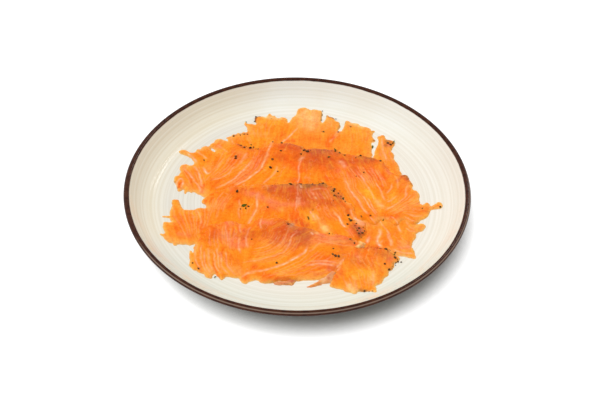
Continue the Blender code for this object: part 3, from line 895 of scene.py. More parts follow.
# Each slice, in the order it is laid: thickness and how far its edge thins (mm), the grain's turn
# in degrees at some x, holes torn in it, its outline (mm, clockwise seen from above), fat lines as
# (width, strength, line), a few short ones of which are painted glints, fans of fine fat lines as
# (width, strength, count, first line, last line), and tints as (tone, width, strength, line), a few
# of which are painted shade. Lines are x, y, x, y, ... as seen by the diner on the level
# NOTE_LEVEL, and are carried down their slant to where they lie.
SLICE_BACK = dict(
    thickness=1.5, feather=2.4, grain=(-55, 100, -20, 80, 20, 85, 60, 95), holes=(),
    outline=(
        -57, 60, -58, 64, -58.5, 67, -60.2, 69.3, -58.5, 71, -55.5, 72, -54.5, 74, -52, 74.3, -50.5, 76.2,
        -48, 75.8, -46, 77.5, -43.5, 77.5, -42.6, 80, -43.6, 84, -45.4, 87, -45.2, 90, -44, 90.6,
        -42.8, 88.4, -39.5, 88, -36.4, 87.2, -35.6, 88.6, -36.8, 90.4, -37.3, 94, -36.3, 97, -33.5, 98,
        -30, 98, -27.6, 97.2, -26.6, 99.6, -24.8, 102.2, -23, 100.4, -22, 98.8, -20, 99, -18.4, 97,
        -16.4, 96.3, -14.5, 97.5, -12, 97, -10, 95.5, -9, 92.5, -8.3, 90.8, -6.8, 94, -5.5, 97.2, -3.4, 99,
        -1.7, 104, -0.8, 108, 1.5, 109.8, 5, 110.6, 8, 108.9, 10, 107.3, 13, 108.4, 17, 107.3, 19.3, 105.6,
        20.2, 101, 19.2, 98, 19.6, 95, 19, 92.6, 20.4, 91, 22.2, 95, 23, 98, 23.9, 101, 25.6, 99.6,
        28.2, 98.4, 30, 96.4, 31.4, 93.6, 33.6, 92.4, 35, 89.5, 35, 86, 34, 83, 33.6, 81.2, 35.6, 80.5,
        36.6, 83, 38.2, 87.5, 39, 91.5, 39.7, 94, 41.2, 94.4, 43, 93.2, 45, 91.5, 48, 91, 50.4, 90,
        51.8, 87.6, 55, 87, 58.4, 86, 60.2, 83.8, 61, 81.4, 62.6, 82, 63.7, 80.4, 62, 77.4, 61.6, 74.4,
        62.6, 71.4, 64.2, 69, 63, 66.8, 61.2, 66.2, 60.7, 64, 61.4, 61, 60.8, 57.5, 60.6, 54, 61, 50, 57, 44,
        50, 42, 25, 40, 0, 43, -28, 41, -52, 45,
    ),
    fat=(
        # Painted highlight: the short line from (29, 73) to (34, 81) is a whitish glint, drawn as a fat line
        (0.8, 0.7, -13, 64, -9, 70, -5, 76, -1, 83), (0.7, 0.5, 29, 73, 31, 77, 34, 81),
        (0.7, 0.4, 26, 66, 28, 70, 33, 76), (0.7, 0.35, -55, 72, -55, 66, -53, 61),
        (0.6, 0.25, -42, 74, -41, 68, -39, 62),
    ),
    fans=(
        (0.5, 0.16, 9, -52, 76, -50, 68, -48, 62, -22, 92, -24, 80, -24, 70),
        (0.5, 0.14, 6, 40, 90, 41, 78, 42, 64, 57, 84, 57, 74, 56, 62),
    ),
    tints=(
        (SHEER, 8, 0.8, 3, 106, 7, 102, 9, 97, 8, 93), (PALE, 4, 0.55, 13, 105, 15, 99, 15, 94),
        (SHEER, 2.2, 0.6, -31, 97, -22, 97, -13, 95.5), (HONEY, 4, 0.4, -34, 92, -24, 90, -14, 90),
        (PALE, 3, 0.6, -44, 87, -41, 82, -41, 78), (PALE, 2.4, 0.5, -38, 75, -32, 74, -25, 75),
        (SHEER, 2.6, 0.6, 42, 92, 47, 89, 57, 85), (HONEY, 4, 0.4, 44, 84, 52, 80, 58, 76),
        (PALE, 2, 0.45, 25, 95, 27, 90, 26, 86), (PALE, 3, 0.4, -58, 69, -52, 73, -46, 75),
        (AMBER, 8, 0.7, -44, 68, -36, 68, -26, 67), (AMBER, 6, 0.5, -36, 82, -28, 80, -18, 82),
        (AMBER, 7, 0.5, 44, 72, 50, 67, 57, 62), (AMBER, 4, 0.6, -8, 82, -6, 80),
        # Painted shade: the deep orange stroke from (31, 74) down to (25, 59) stands for shade near a fold
        (EMBER, 3.4, 0.85, 31, 74, 26, 67, 25, 59), (EMBER, 3.2, 0.85, -10, 66, -6, 67, -3, 68),
        (EMBER, 3, 0.5, -14, 79, -13, 74, -17, 70), (EMBER, 4.5, 0.4, 4, 70, 12, 70, 20, 66),
        (EMBER, 2.2, 0.5, -30, 88, -28, 87), (PINK, 1.6, 0.7, 31, 80, 34, 79),
        (SHEER, 8, 0.35, 0, 92, 8, 88, 15, 82), (HONEY, 4, 0.25, 44, 84, 45, 72, 44, 62),
        (AMBER, 4, 0.4, 5, 103, 10, 101), (BROWN, 1, 0.85, -36.6, 90, -37.2, 94, -35.5, 97, -32, 97.6),
        (BROWN, 0.9, 0.8, 24, 100, 27, 98.4, 30, 96.2, 32, 93),
        (BROWN, 0.8, 0.6, 34.6, 90, 34.4, 86, 33, 82), (BROWN, 0.9, 0.5, 19.4, 105, 19.8, 101, 18.6, 93),
        (BROWN, 0.8, 0.5, 39.4, 93, 38.6, 90), (BROWN, 1, 0.5, -54, 72, -49, 74, -42, 75),
        (BROWN, 1.2, 0.75, 62.4, 70, 63, 68.6), (BROWN, 0.9, 0.6, 61.4, 82, 62.6, 80.5),
        (BROWN, 1.1, 0.6, 21, 79.4, 21, 78.4), (BROWN, 0.8, 0.5, -24, 97, -23, 95),
        (BROWN, 0.9, 0.4, 42, 88, 44, 86),
    ),
)
SLICE_BACK_RIGHT = dict(
    thickness=1.5, feather=2, grain=(60, 95, 84, 100), holes=(),
    outline=(
        62, 51, 62.8, 56, 64, 60, 65.4, 63.5, 66.2, 67, 66, 70, 65.4, 73, 66, 75, 67.6, 75, 69.2, 76.4,
        71.2, 76, 72.2, 74.4, 72.4, 72.4, 73.6, 71, 75.2, 70.4, 77.2, 70, 78.6, 69, 79.9, 66, 79.4, 63,
        78.1, 60.5, 77.5, 58, 77, 56, 78.1, 53.4, 79, 50.4, 78.7, 47, 79.6, 44, 81.2, 40.8, 82.1, 37,
        82.4, 33, 83.8, 29, 83, 25, 78, 22, 68, 26, 63, 38, 61, 46,
    ),
    fat=(
        (0.9, 0.65, 69, 73, 70, 62, 71, 52, 72, 45), (0.6, 0.3, 76, 60, 76, 50, 78, 40),
    ),
    fans=(
        (0.5, 0.2, 4, 66, 60, 66, 50, 67, 40, 77, 58, 78, 48, 80, 38),
    ),
    tints=(
        (BROWN, 2.2, 0.5, 72, 68, 75, 69, 78, 67), (BROWN, 2, 0.55, 71.5, 65, 73, 62),
        (PINK, 1.6, 0.7, 75, 65, 76, 62), (PINK, 1.6, 0.55, 67, 52, 68, 51),
        (PALE, 1.4, 0.5, 70, 60, 70, 52, 70, 45), (PALE, 1.4, 0.4, 78, 52, 80, 42, 81, 34),
        (AMBER, 3, 0.6, 67, 72, 67, 62, 65, 54), (AMBER, 3, 0.5, 74, 56, 74, 48),
        (EMBER, 2.2, 0.5, 70, 38, 73, 33),
    ),
)
SLICE_RIGHT = dict(
    thickness=1.6, feather=3.2, grain=(54, 75, 64, 95, 78, 105, 92, 50), holes=(),
    outline=(
        40, -34, 44, -24, 54, -18, 68, -15, 84, -18, 90, -25, 92.5, -28, 94, -28.6, 96, -28, 98.6, -28.5,
        99.6, -30.6, 99, -33.6, 97, -36, 95, -37.1, 93, -38.6, 91.6, -40, 91.7, -43, 91, -45.2, 89.6, -46.6,
        88.6, -48.6, 88.1, -52, 88.4, -55, 89.6, -59, 90.4, -63, 90, -65.6, 88.4, -66.1, 86, -65.6,
        83, -64.6, 80, -63.6, 76, -64, 70, -63, 62, -63, 52, -61, 43, -56, 40, -45,
    ),
    fat=(
        (1.3, 0.85, 64, -34, 64, -40, 62, -47, 64, -53), (1.2, 0.85, 56, -43, 54.6, -46, 54, -49),
        (0.8, 0.6, 70, -39, 72, -46, 72, -52), (0.8, 0.65, 77, -24, 78, -30, 80, -38),
        (0.7, 0.5, 57, -22, 62, -25, 66, -30, 70, -37, 72.4, -44, 73, -52),
        (2.4, 0.5, 49, -25, 51, -29, 53, -31), (0.6, 0.5, 67, -46, 64, -48.6, 60, -50),
        (0.6, 0.5, 84, -33, 87, -36, 91, -37), (0.8, 0.6, 74, -57, 82, -60, 88, -60),
        (0.6, 0.5, 54, -55.4, 62, -57, 72, -58), (0.7, 0.4, 84, -24, 86, -31, 90, -35),
        (1.2, 0.4, 76, -62, 82, -64, 88, -66),
    ),
    fans=(
        (0.6, 0.22, 5, 80, -42, 83, -46, 86, -50, 76, -50, 80, -56, 86, -61),
    ),
    tints=(
        (PALE, 2.4, 0.45, 60, -31, 68, -28, 78, -32), (PALE, 2.6, 0.6, 84, -51, 86, -56),
        (PALE, 3, 0.45, 66, -56, 76, -59, 86, -62), (PALE, 2.5, 0.45, 88, -31, 94, -31, 98, -31),
        (PALE, 2, 0.4, 88, -52, 89, -60), (AMBER, 5, 0.6, 76, -42, 83, -44, 88, -43),
        (AMBER, 3, 0.5, 84, -57, 88, -62), (AMBER, 5, 0.6, 62, -36, 68, -30, 80, -34),
        (EMBER, 3, 0.6, 72, -22, 74, -24), (EMBER, 4, 0.5, 66, -42, 68, -50, 60, -52),
        (EMBER, 3, 0.6, 54, -36, 55, -46, 52, -52), (RED, 1.6, 0.6, 54, -53, 62, -55, 70, -56),
        (PINK, 2, 0.6, 76, -55, 82, -54, 86, -53), (PINK, 2.5, 0.4, 56, -26, 62, -30),
    ),
)
SLICE_SECOND = dict(
    thickness=1.8, feather=3.2,
    grain=(-92, 122, -76, 108, -66, 60, -50, 52, -28, 62, 2, 88, 40, 112, 60, 108, 74, 66, 86, 45, 106, 20),
    holes=((-71, 55.4, -69.6, 55, -67.8, 53.4, -68, 51.8, -69.4, 52.2, -70.6, 53.8),),
    outline=(
        -76.5, 0, -79, 1, -82, 3, -84, 2.4, -86, 3.6, -87.2, 2.4, -88.1, -0.6, -89.2, 1.4, -89.6, 4.6,
        -90.8, 5.6, -92, 4.4, -93.6, 3.4, -95.2, 5, -96, 9, -97.4, 12, -98.6, 15, -98.6, 19, -98, 21.6,
        -96, 22.6, -94.9, 24.4, -94.5, 27, -95.5, 30, -95.1, 33, -93.6, 35.4, -90, 36, -88, 35, -86, 35.1,
        -84.2, 37, -85.2, 40, -88, 44, -91, 46.4, -94, 47.4, -96.2, 49, -97.6, 51.6, -96, 53.6, -93, 54,
        -90.4, 52.2, -88, 50.8, -85, 50.8, -83.7, 52.6, -82.9, 54.6, -80.2, 55, -79, 57.4, -76.6, 59,
        -74, 58.4, -72.8, 59.2, -72, 61.6, -70, 63.6, -68.6, 66.6, -65, 68.6, -62, 67.6, -60, 66.6,
        -58, 65.6, -56, 63.6, -53.5, 62.4, -51, 62.8, -48, 61.6, -45, 60, -41, 58.6, -38, 57, -35, 56.6,
        -31.5, 57.6, -28, 58.6, -25, 61, -23, 64.4, -21.4, 67.2, -19.4, 65.4, -17, 63.6, -14, 64, -11, 64,
        -8, 64.6, -5, 63.6, -2, 62, 1, 61, 4, 60, 6, 57.6, 9, 57.4, 13, 58, 18, 57.8, 22, 57.6, 26, 56.6,
        29, 57, 31, 57.6, 33, 55.4, 35, 53.6, 38, 52.4, 41, 52, 44, 51, 48, 50, 50.5, 50.8, 53.5, 50, 57, 49,
        60, 49.2, 62, 47.6, 65, 46, 67.4, 44.6, 69.6, 42.4, 71.2, 39, 72.8, 35.4, 75, 31.6, 77, 29.4,
        80, 28.4, 83, 28, 86, 28.3, 88, 27.5, 89.1, 24.5, 90.1, 21.5, 91.6, 18, 92.7, 15, 91.6, 12.6,
        92.2, 10.6, 94.6, 9.5, 96.1, 7, 97.1, 4.4, 96.6, 1, 96.6, -3, 98, -6.4, 99.6, -6.4, 101.2, -4.4,
        103.1, -4.5, 104.1, -6.6, 105.2, -8, 107, -7, 109, -5, 110.2, -3.4, 112.2, -3.4, 113.7, -5,
        114.1, -8, 113, -10.6, 110, -11.8, 107, -12.6, 105.2, -13.2, 104.1, -15, 103, -18, 101.4, -21,
        98, -23.6, 95, -26, 92.4, -28.2, 89.6, -29, 87, -27.4, 84.4, -24.6, 82, -24, 80, -26.4, 78.4, -30,
        76, -31, 73.6, -28.6, 71, -25, 68, -23.4, 65, -25, 62.6, -28.8, 60, -30.6, 57, -29, 54, -26,
        51, -25.6, 48, -28, 43, -27, 37, -18, 18, -4, -10, -1, -56, -4, -72, -3,
    ),
    fat=(
        (0.9, 0.7, -21, 66, -24, 57, -26, 48, -28, 40, -31, 31, -37, 23, -43, 17, -51, 11),
        (1.3, 0.4, -24, 56, -25, 52, -26, 46, -27, 42), (0.8, 0.6, -17, 35, -18, 29, -22, 21, -27, 15),
        (1.1, 0.5, -42, 52, -43, 48, -46, 41, -47, 38),
        (0.9, 0.7, -37, 43, -41, 36, -45, 29, -49, 22, -56, 15, -64, 9),
        (0.7, 0.5, -51, 35, -55, 27, -60, 22, -67, 18), (0.8, 0.65, -90, 50, -87, 47, -84, 42.5, -82, 38),
        (0.8, 0.6, -82, 51, -78, 47.5, -74, 43), (0.9, 0.75, -75.5, 33, -74, 29, -72, 25.5, -70.5, 26),
        (0.9, 0.7, -83, 34, -80, 29, -78, 24, -76.5, 17, -76, 11),
        (0.9, 0.7, -91, 31, -87, 25, -84, 19, -80, 13.5, -77.5, 8, -77, 3),
        (0.8, 0.7, -95.4, 8, -96, 14, -94.4, 19, -91.6, 17, -90.6, 12, -91, 7),
        (0.6, 0.4, -60, 43, -63, 38, -66, 31), (0.7, 0.35, -66, 61, -62, 56, -57, 52),
        (0.7, 0.55, 3, 49, 3, 43, 1, 37, 1, 28, 1, 20, 0, 14), (1.2, 0.5, 5, 48, 3, 45, 2, 42),
        (1.5, 0.6, 33, 44, 36, 41, 38, 35),
        (0.9, 0.75, 37, 22, 41, 12, 44, 5, 47, -2, 50, -9, 53, -15, 55.5, -18),
        (0.8, 0.6, 51, 27, 53, 20, 55, 14), (0.8, 0.5, 52, 20, 56, 12, 59, 4, 60.6, -3),
        (0.7, 0.55, 63, 18, 66, 10, 67.6, 3), (0.6, 0.7, 51, 2, 54.6, -6, 58.6, -13, 61.4, -18),
        (0.5, 0.65, 54.6, -1, 58, -8, 62, -16), (1.5, 0.45, 62, -3, 64, -7, 67, -9),
        (0.5, 0.5, 84, -20, 88, -23, 92, -25), (0.5, 0.5, 86, -17, 92, -20, 97, -20),
        (0.6, 0.5, 73, -20, 77, -25, 78, -29), (0.6, 0.5, 57, -22, 60, -26, 61, -29),
        (0.8, 0.5, 66, 8, 68, 2, 69, -2), (0.6, 0.5, 75, 16, 73, 10, 71, 6),
        (0.7, 0.55, 87, 7, 84, 1, 79, -5, 73, -10, 69, -13), (0.7, 0.5, 78, 4, 74, -1, 71, -4),
        (0.7, 0.5, 88, 16, 86, 9, 85, 2), (0.7, 0.45, 63, 34, 67, 24, 69, 14),
        (0.7, 0.4, 78, 26, 80, 20, 79, 12),
    ),
    fans=(
        (0.5, 0.3, 6, -21, 66, -26, 48, -31, 31, -43, 17, -51, 11,
         -37, 54, -38, 43, -45, 29, -56, 15, -64, 9),
        (0.5, 0.26, 6, -40, 50, -46, 36, -56, 24, -68, 16, -62, 56, -66, 42, -70, 30, -76, 16),
        (0.5, 0.28, 6, -95, 32, -91, 22, -86, 12, -83, 5, -78, 34, -74, 26, -72, 16, -74, 6),
        (0.5, 0.3, 9, 40, 39, 45, 29, 50, 19, 54, 9, 66, 36, 68, 28, 71, 20, 73, 12),
        (0.5, 0.3, 7, 70, -14, 78, -6, 86, 4, 90, 12, 73, -19, 84, -14, 95, -8, 102, -6),
        (0.5, 0.25, 6, 44, 34, 48, 12, 56, -8, 34, 30, 38, 10, 46, -12),
        (0.5, 0.22, 6, 80, -16, 90, -20, 98, -22, 76, -10, 90, -4, 100, 0),
    ),
    tints=(
        (AMBER, 8, 0.8, -20, 20, -10, 24, 0, 22, 8, 20), (AMBER, 4, 0.6, -24, 36, -28, 28, -33, 22),
        (AMBER, 5, 0.7, 52, 14, 57, 8, 62, -2), (HONEY, 4, 0.6, 53, 11, 56, 6, 60, -1),
        (AMBER, 5, 0.8, 64, 2, 68, -8, 70, -14), (HONEY, 3, 0.6, 63, -3, 66, -9),
        (AMBER, 4, 0.6, 74, 4, 78, 0, 82, 6), (AMBER, 3.5, 0.55, -86, 46, -80, 40, -76, 34),
        (AMBER, 4, 0.55, -72, 52, -66, 48, -60, 44), (AMBER, 3.5, 0.5, -78, 28, -72, 24, -68, 22),
        (AMBER, 4, 0.5, -64, 34, -58, 38), (PALE, 3, 0.6, -70, 65, -65, 67, -60, 65),
        (PALE, 2.4, 0.5, -81, 53, -77, 57, -74, 56), (PALE, 2.2, 0.6, -96, 52, -92, 51, -88, 49),
        (PALE, 2.4, 0.5, -94, 34, -90, 34, -87, 33), (PALE, 2.4, 0.5, -84, 5, -80, 4, -77, 2),
        (PALE, 2, 0.4, 93, 8, 96, 2, 98, -8), (PALE, 2.6, 0.5, 62, -2, 65, -8, 68, -11),
        (PALE, 3, 0.35, 103, -7, 110, -8), (RED, 7.5, 0.95, 8, 52, 14, 47, 22, 46, 28, 49),
        (RED, 5, 0.85, -17, 60, -9, 60, -1, 57, 4, 54), (RED, 5.5, 0.7, -4, 50, 4, 43, 14, 39, 24, 40),
        (RUST, 3, 0.6, 6, 54, 14, 55, 24, 54), (EMBER, 6, 0.8, -14, 48, -8, 42, 2, 34, 6, 28),
        (EMBER, 6, 0.75, 16, 32, 26, 34, 32, 28), (EMBER, 5, 0.7, 26, 24, 24, 18),
        (EMBER, 6.5, 0.75, 36, 40, 42, 32, 44, 22), (RED, 6.5, 0.75, 32, 46, 42, 43, 54, 43, 64, 39),
        (RED, 5, 0.55, 42, 34, 50, 31, 58, 28, 64, 24), (RUST, 3, 0.5, 50, 48, 57, 46, 63, 43),
        (EMBER, 6, 0.75, 54, 34, 64, 28, 70, 20), (RED, 2.4, 0.5, 64, 44, 68, 40, 72, 34),
        (RED, 3, 0.7, 82, 26, 86, 24, 89, 19), (EMBER, 3, 0.6, 66, 16, 70, 8, 74, 4),
        (EMBER, 4, 0.5, 84, 14, 82, 6, 78, 0), (EMBER, 3, 0.6, 72, -18, 74, -22, 80, -20),
        (EMBER, 4.5, 0.5, -69, 12, -63, 16, -57, 20), (EMBER, 5, 0.85, -36, 47, -33, 40, -38, 32),
        (EMBER, 4, 0.6, -50, 54, -48, 46, -52, 38), (EMBER, 3, 0.6, -56, 10, -48, 14, -42, 18),
        (EMBER, 2, 0.85, -74, 14, -75.4, 10, -76, 7), (EMBER, 2.6, 0.25, -88, 24, -85, 18, -83, 13),
        (RED, 2, 0.8, -50, 62, -46, 59, -41, 56.5, -36, 55.4), (RED, 2.2, 0.6, -33, 54, -28, 52, -30, 47),
        (RUST, 1.6, 0.6, -13, 63, -5, 62.4, 3, 59.4), (RUST, 1.4, 0.6, 5, 57, 14, 57, 24, 56.6, 30, 56),
        (PINK, 2.6, 0.6, 32, 42, 36, 40, 38, 35), (PINK, 2.2, 0.5, 33, 34, 32, 28),
        (PINK, 2, 0.5, 48, 30, 52, 24, 55, 18), (PINK, 2, 0.45, 60, 34, 62, 28),
        (PINK, 2.4, 0.45, -66, 60, -64, 56), (RUST, 5, 0.6, 8, 54, 18, 55, 28, 53),
        (EMBER, 5, 0.7, -9, 17, -1, 19, 6, 15), (EMBER, 4, 0.45, -38, 46, -36, 34, -42, 24, -50, 14),
        (EMBER, 4, 0.4, -56, 40, -50, 32), (RED, 5.5, 0.55, -18, 44, -12, 52), (RED, 4, 0.5, 5, 38, 12, 33),
        (RUST, 4, 0.45, 24, 39, 27, 32), (PALE, 3, 0.45, -72, 36, -70, 28),
        (PALE, 2.5, 0.5, -93, 33, -91, 31), (PALE, 3, 0.5, -75, 9, -73, 0),
        (PALE, 2.6, 0.45, -88, 14, -85, 7), (HONEY, 5, 0.35, 71, 9, 78, -4, 76, -14),
        (RED, 3, 0.5, 79, 22, 81, 18), (PINK, 2.5, 0.45, 72, 34, 75, 27), (PALE, 3, 0.4, -50, 51, -44, 50),
        (PALE, 2.4, 0.55, 59, -26, 66, -22, 72, -24), (PALE, 2.4, 0.5, 76, -27, 83, -23, 90, -26),
        (RUST, 4, 0.45, 16, 56, 28, 54, 34, 51), (PINK, 2.6, 0.5, -76, 6, -74, 1),
        (BROWN, 1.6, 0.6, 84, 27, 87, 26, 89, 22), (BROWN, 0.8, 0.5, 90, 20, 92, 15),
        # Painted shade: the deep orange stroke at x -93 and the brown one at (-93, 10 to 12.5) darken the
        # opening of a curled tip the sheet does not model
        (BROWN, 1.2, 0.45, 48, 49, 56, 48, 64, 45), (EMBER, 1.6, 1, -93.2, 15, -92.8, 11, -93.4, 7),
        (BROWN, 0.8, 0.4, -93, 12.5, -93, 10), (AMBER, 5, 0.5, -70, 32, -64, 26, -58, 20),
        (BROWN, 0.8, 0.4, -94.4, 8, -94.4, 6), (BROWN, 0.8, 0.4, -98, 16, -97.6, 13),
    ),
)
SLICE_THIRD = dict(
    thickness=1.8, feather=3.2, grain=(-95, 111, -70, 98, -35, 79, 0, 90, 35, 120), holes=(),
    outline=(
        -91, -56.4, -93.2, -56, -94, -54.2, -96.6, -53.4, -99, -51, -100.6, -49, -102, -46.6, -104.2, -45,
        -104.2, -43.4, -101.6, -43.4, -101.1, -42, -102, -39, -103.1, -36, -103.4, -32, -103, -30.3,
        -100, -30.5, -98.4, -31, -96.6, -30.2, -98, -29, -98.6, -27, -100, -26.3, -104, -25.8, -104.6, -24.3,
        -101, -24, -98.8, -23.8, -99.1, -20, -98.6, -17, -98.1, -13, -98.6, -9, -98, -6, -95, -5.4,
        -93, -6.8, -92, -9, -91, -11.6, -89.6, -14.6, -88.4, -16.2, -86, -16.6, -82, -16.6, -80.4, -17,
        -79, -16, -77, -14.5, -74, -14.6, -72, -15, -71, -13, -72, -11, -74, -9.6, -75.1, -7, -74, -4,
        -72, -1, -70, 1.6, -67, 3.4, -63, 5.4, -58, 8, -53, 10.2, -49, 10.6, -45, 10.4, -40, 11.6, -35, 13,
        -30, 14.2, -27, 13.6, -23, 13.4, -18, 13.9, -14, 14.1, -9, 14.8, -6, 15.2, -2, 15.5, 2, 15.6, 5, 15,
        10, 15.6, 15, 15.3, 19, 16.1, 22, 16.2, 25, 13.8, 29, 12.6, 30.6, 10.4, 31.2, 8, 34, 7.6, 36, 5,
        37.1, 1, 37.7, -3, 40, -5.6, 43, -7, 44.2, -10, 45.2, -15, 46.2, -20, 47, -23.4, 50, -24.4, 53, -28,
        53.4, -33, 54, -38, 52.6, -41, 50, -44, 48, -46.6, 44, -50, 28, -49, 0, -44, -35, -44, -62, -49,
        -78, -55, -80, -56.6, -82, -55.6, -86, -55, -90, -55,
    ),
    fat=(
        (0.6, 0.4, 1, 14, 0.5, 7, 0, 1), (1.5, 0.6, 1.2, 0, 1.3, -5, 0.6, -9),
        (0.6, 0.7, -0.5, 1, -0.6, -5, -0.3, -11), (0.6, 0.4, 0, -10, -1, -16),
        (0.8, 0.7, 2.6, 14.4, 3.2, 12.4, 4, 10.6), (0.8, 0.6, 12, 6.4, 13, 3.6),
        # Painted highlights: the short strokes near (11, -18) and (13, -22) are glints on the wet flesh,
        # drawn as fat lines
        (0.8, 0.6, 14.6, 0.6, 15.6, -2), (0.5, 0.9, 11, -16.5, 11.4, -19), (0.5, 0.8, 12.6, -21, 13, -23),
        (0.7, 0.5, 15, -20, 17.4, -24), (0.9, 0.65, -30, 4, -31, -4, -31, -12, -33, -20, -37, -29, -37, -33),
        (0.7, 0.4, -45, -4, -44, -12, -46, -19, -45, -26), (1.1, 0.8, 29, -17, 32, -22, 35, -29, 37.5, -32),
        (0.8, 0.5, 41, -12, 42, -17, 44, -23), (1.6, 0.7, 45, -23, 48, -28, 52, -31),
        (0.8, 0.45, -78, -17, -76, -22, -74, -27, -74, -34), (0.7, 0.3, 10, 8, 16, 10, 24, 8),
        (0.6, 0.3, -58, 4, -62, -4, -64, -14),
    ),
    fans=(
        (0.6, 0.26, 9, -98, -12, -95, -24, -90, -36, -84, -48, -68, -6, -67, -18, -68, -30, -71, -42),
        (0.5, 0.24, 8, -66, -4, -68, -16, -70, -30, -46, 6, -54, -8, -58, -26),
        (0.5, 0.16, 6, -46, -8, -47, -18, -48, -28, -24, -8, -28, -16, -32, -24),
        (0.5, 0.28, 6, 6, 12, 8, 4, 14, -4, 24, 10, 27, 0, 32, -8),
        (0.5, 0.2, 5, 18, -12, 22, -20, 28, -30, 34, -6, 38, -16, 42, -26),
    ),
    tints=(
        (RUST, 5, 0.9, -24, 11, -14, 10, 0, 10, 12, 10, 22, 10), (RUST, 3, 0.6, 2, 12, 10, 12.6, 18, 12),
        (PINK, 2.6, 0.6, 11, 7, 14, 1, 18, -3), (RED, 3.6, 0.7, 20, 4, 23, -3, 25, -8),
        (HONEY, 5, 0.95, 10, -18, 12.6, -24, 14, -29), (PALE, 1.4, 0.7, 13.6, -20, 16.6, -25, 18, -31),
        (PALE, 3, 0.6, 19, -33, 21, -36, 24, -39), (EMBER, 3, 0.85, -1, -22, 2, -29, 8, -33),
        (EMBER, 7, 0.7, -26, -15, -12, -19, 2, -22), ((204, 152, 112), 2.2, 0.9, -4.6, -29, -3.4, -32),
        (EMBER, 3.4, 0.5, 20, -10, 26, -18, 30, -26), (RED, 7, 0.9, -22, 7, -8, 5, 8, 4, 24, 2),
        (RED, 4.5, 0.75, -8, -2, 8, -5, 22, -7, 32, -8), (RED, 3, 0.5, -50, 9, -42, 7, -34, 8),
        (RUST, 3, 0.6, -24, 8, -20, 7), (PINK, 3.6, 0.75, -42, 3, -32, 1, -24, -4, -14, -7),
        (PINK, 3, 0.6, -14, -8, -4, -9, 8, -8), (PINK, 2.6, 0.6, 10, 6, 14, 2, 16, -2),
        (PINK, 2.4, 0.5, -54, 9, -52, 4), (EMBER, 4, 0.6, -52, 4, -46, 0, -48, -8),
        (EMBER, 5, 0.75, -4, -16, 2, -22, 0, -28), (EMBER, 4, 0.6, 18, -14, 24, -20),
        (EMBER, 3, 0.5, -66, 0, -70, -6, -72, -10), (EMBER, 4, 0.6, -92, -22, -90, -30, -94, -40),
        (EMBER, 4, 0.5, -76, -30, -72, -40), (RED, 2.4, 0.5, 32, -4, 38, -12, 41, -22),
        (PALE, 2, 0.5, 37, 2, 38.4, -4, 41, -8), (RED, 3.4, 0.5, 42, -30, 46, -38, 49, -44),
        (PINK, 2.4, 0.6, 40, -34, 42, -42), ((252, 176, 128), 2.2, 0.75, 46, -23, 49, -25.4, 52, -28),
        (RED, 2, 0.5, 22, -44, 34, -45, 42, -44), (AMBER, 4.5, 0.9, 10, -16, 13, -22, 13, -29),
        (AMBER, 3, 0.7, 4, -12, 6, -18), (AMBER, 5, 0.7, 22, -26, 30, -32, 36, -36),
        (AMBER, 4, 0.6, -20, -18, -12, -20, -8, -16), (AMBER, 4, 0.6, -84, -19, -77, -19, -70, -18),
        (AMBER, 3, 0.5, -96, -8, -95, -12), (AMBER, 5, 0.4, -62, -14, -56, -20, -52, -24),
        (PALE, 2.4, 0.5, -14, -14, -10, -15), (PALE, 2.6, 0.5, 18, -24, 20, -30, 22, -37),
        (PALE, 3, 0.5, -100, -47, -92, -52, -82, -53), (PALE, 2.4, 0.55, -71, -14, -69, -12, -68, -10),
        (PINK, 3, 0.45, -92, -43, -86, -44, -80, -46), (RED, 4.5, 0.6, 4, -11, 10, -12, 15, -13),
        (EMBER, 4.5, 0.6, 20, -14, 22, -22, 20, -30), (EMBER, 6, 0.6, -62, -5, -56, -9, -52, -14),
        (PINK, 4, 0.45, -22, -8, -15, -13), (HONEY, 4, 0.4, -78, -20, -74, -24),
        (RED, 3.6, 0.55, -2, -26, 4, -30, 9, -33), (RED, 5, 0.6, 2, 1, 12, 0, 24, -3),
        (RED, 3.2, 0.6, 27, 9, 31, 4, 34, -2), (RUST, 3.2, 0.7, 43, -29, 47, -35, 49, -42),
        (SHEER, 2.4, 0.5, 12, -19, 14, -26), (SHEER, 2.8, 0.5, 20, -32, 24, -38),
        ((196, 108, 76), 1.5, 0.6, 46, -31, 49, -35, 50, -39),
        ((206, 108, 62), 1.4, 0.5, 31, 5, 34, 1, 36, -2),
        (BROWN, 0.9, 0.8, 0, 15.2, 8, 15.2, 16, 15.2, 22, 15.8), (BROWN, 2.4, 0.5, 2, 11, 8, 12),
        (BROWN, 2, 0.5, 18, 13.6, 24, 12), (BROWN, 1.5, 0.35, -16, 12.6, -8, 13.4, 0, 13.8),
        (BROWN, 1.6, 0.6, 2, 13.6, 10, 14, 20, 14.6), (BROWN, 2.4, 0.3, 27, 9, 29, 4, 31, 0, 33, -4),
        (BROWN, 1.8, 0.3, 45, -32, 47, -38, 49, -44), (BROWN, 0.6, 0.9, 8.4, -22, 9.4, -25.6),
        (BROWN, 1.6, 0.5, 6, 12, 11, 12.6), (BROWN, 0.8, 0.4, -99, -18, -98.6, -22),
        (BROWN, 0.8, 0.5, 13, -16, 13, -14),
    ),
)
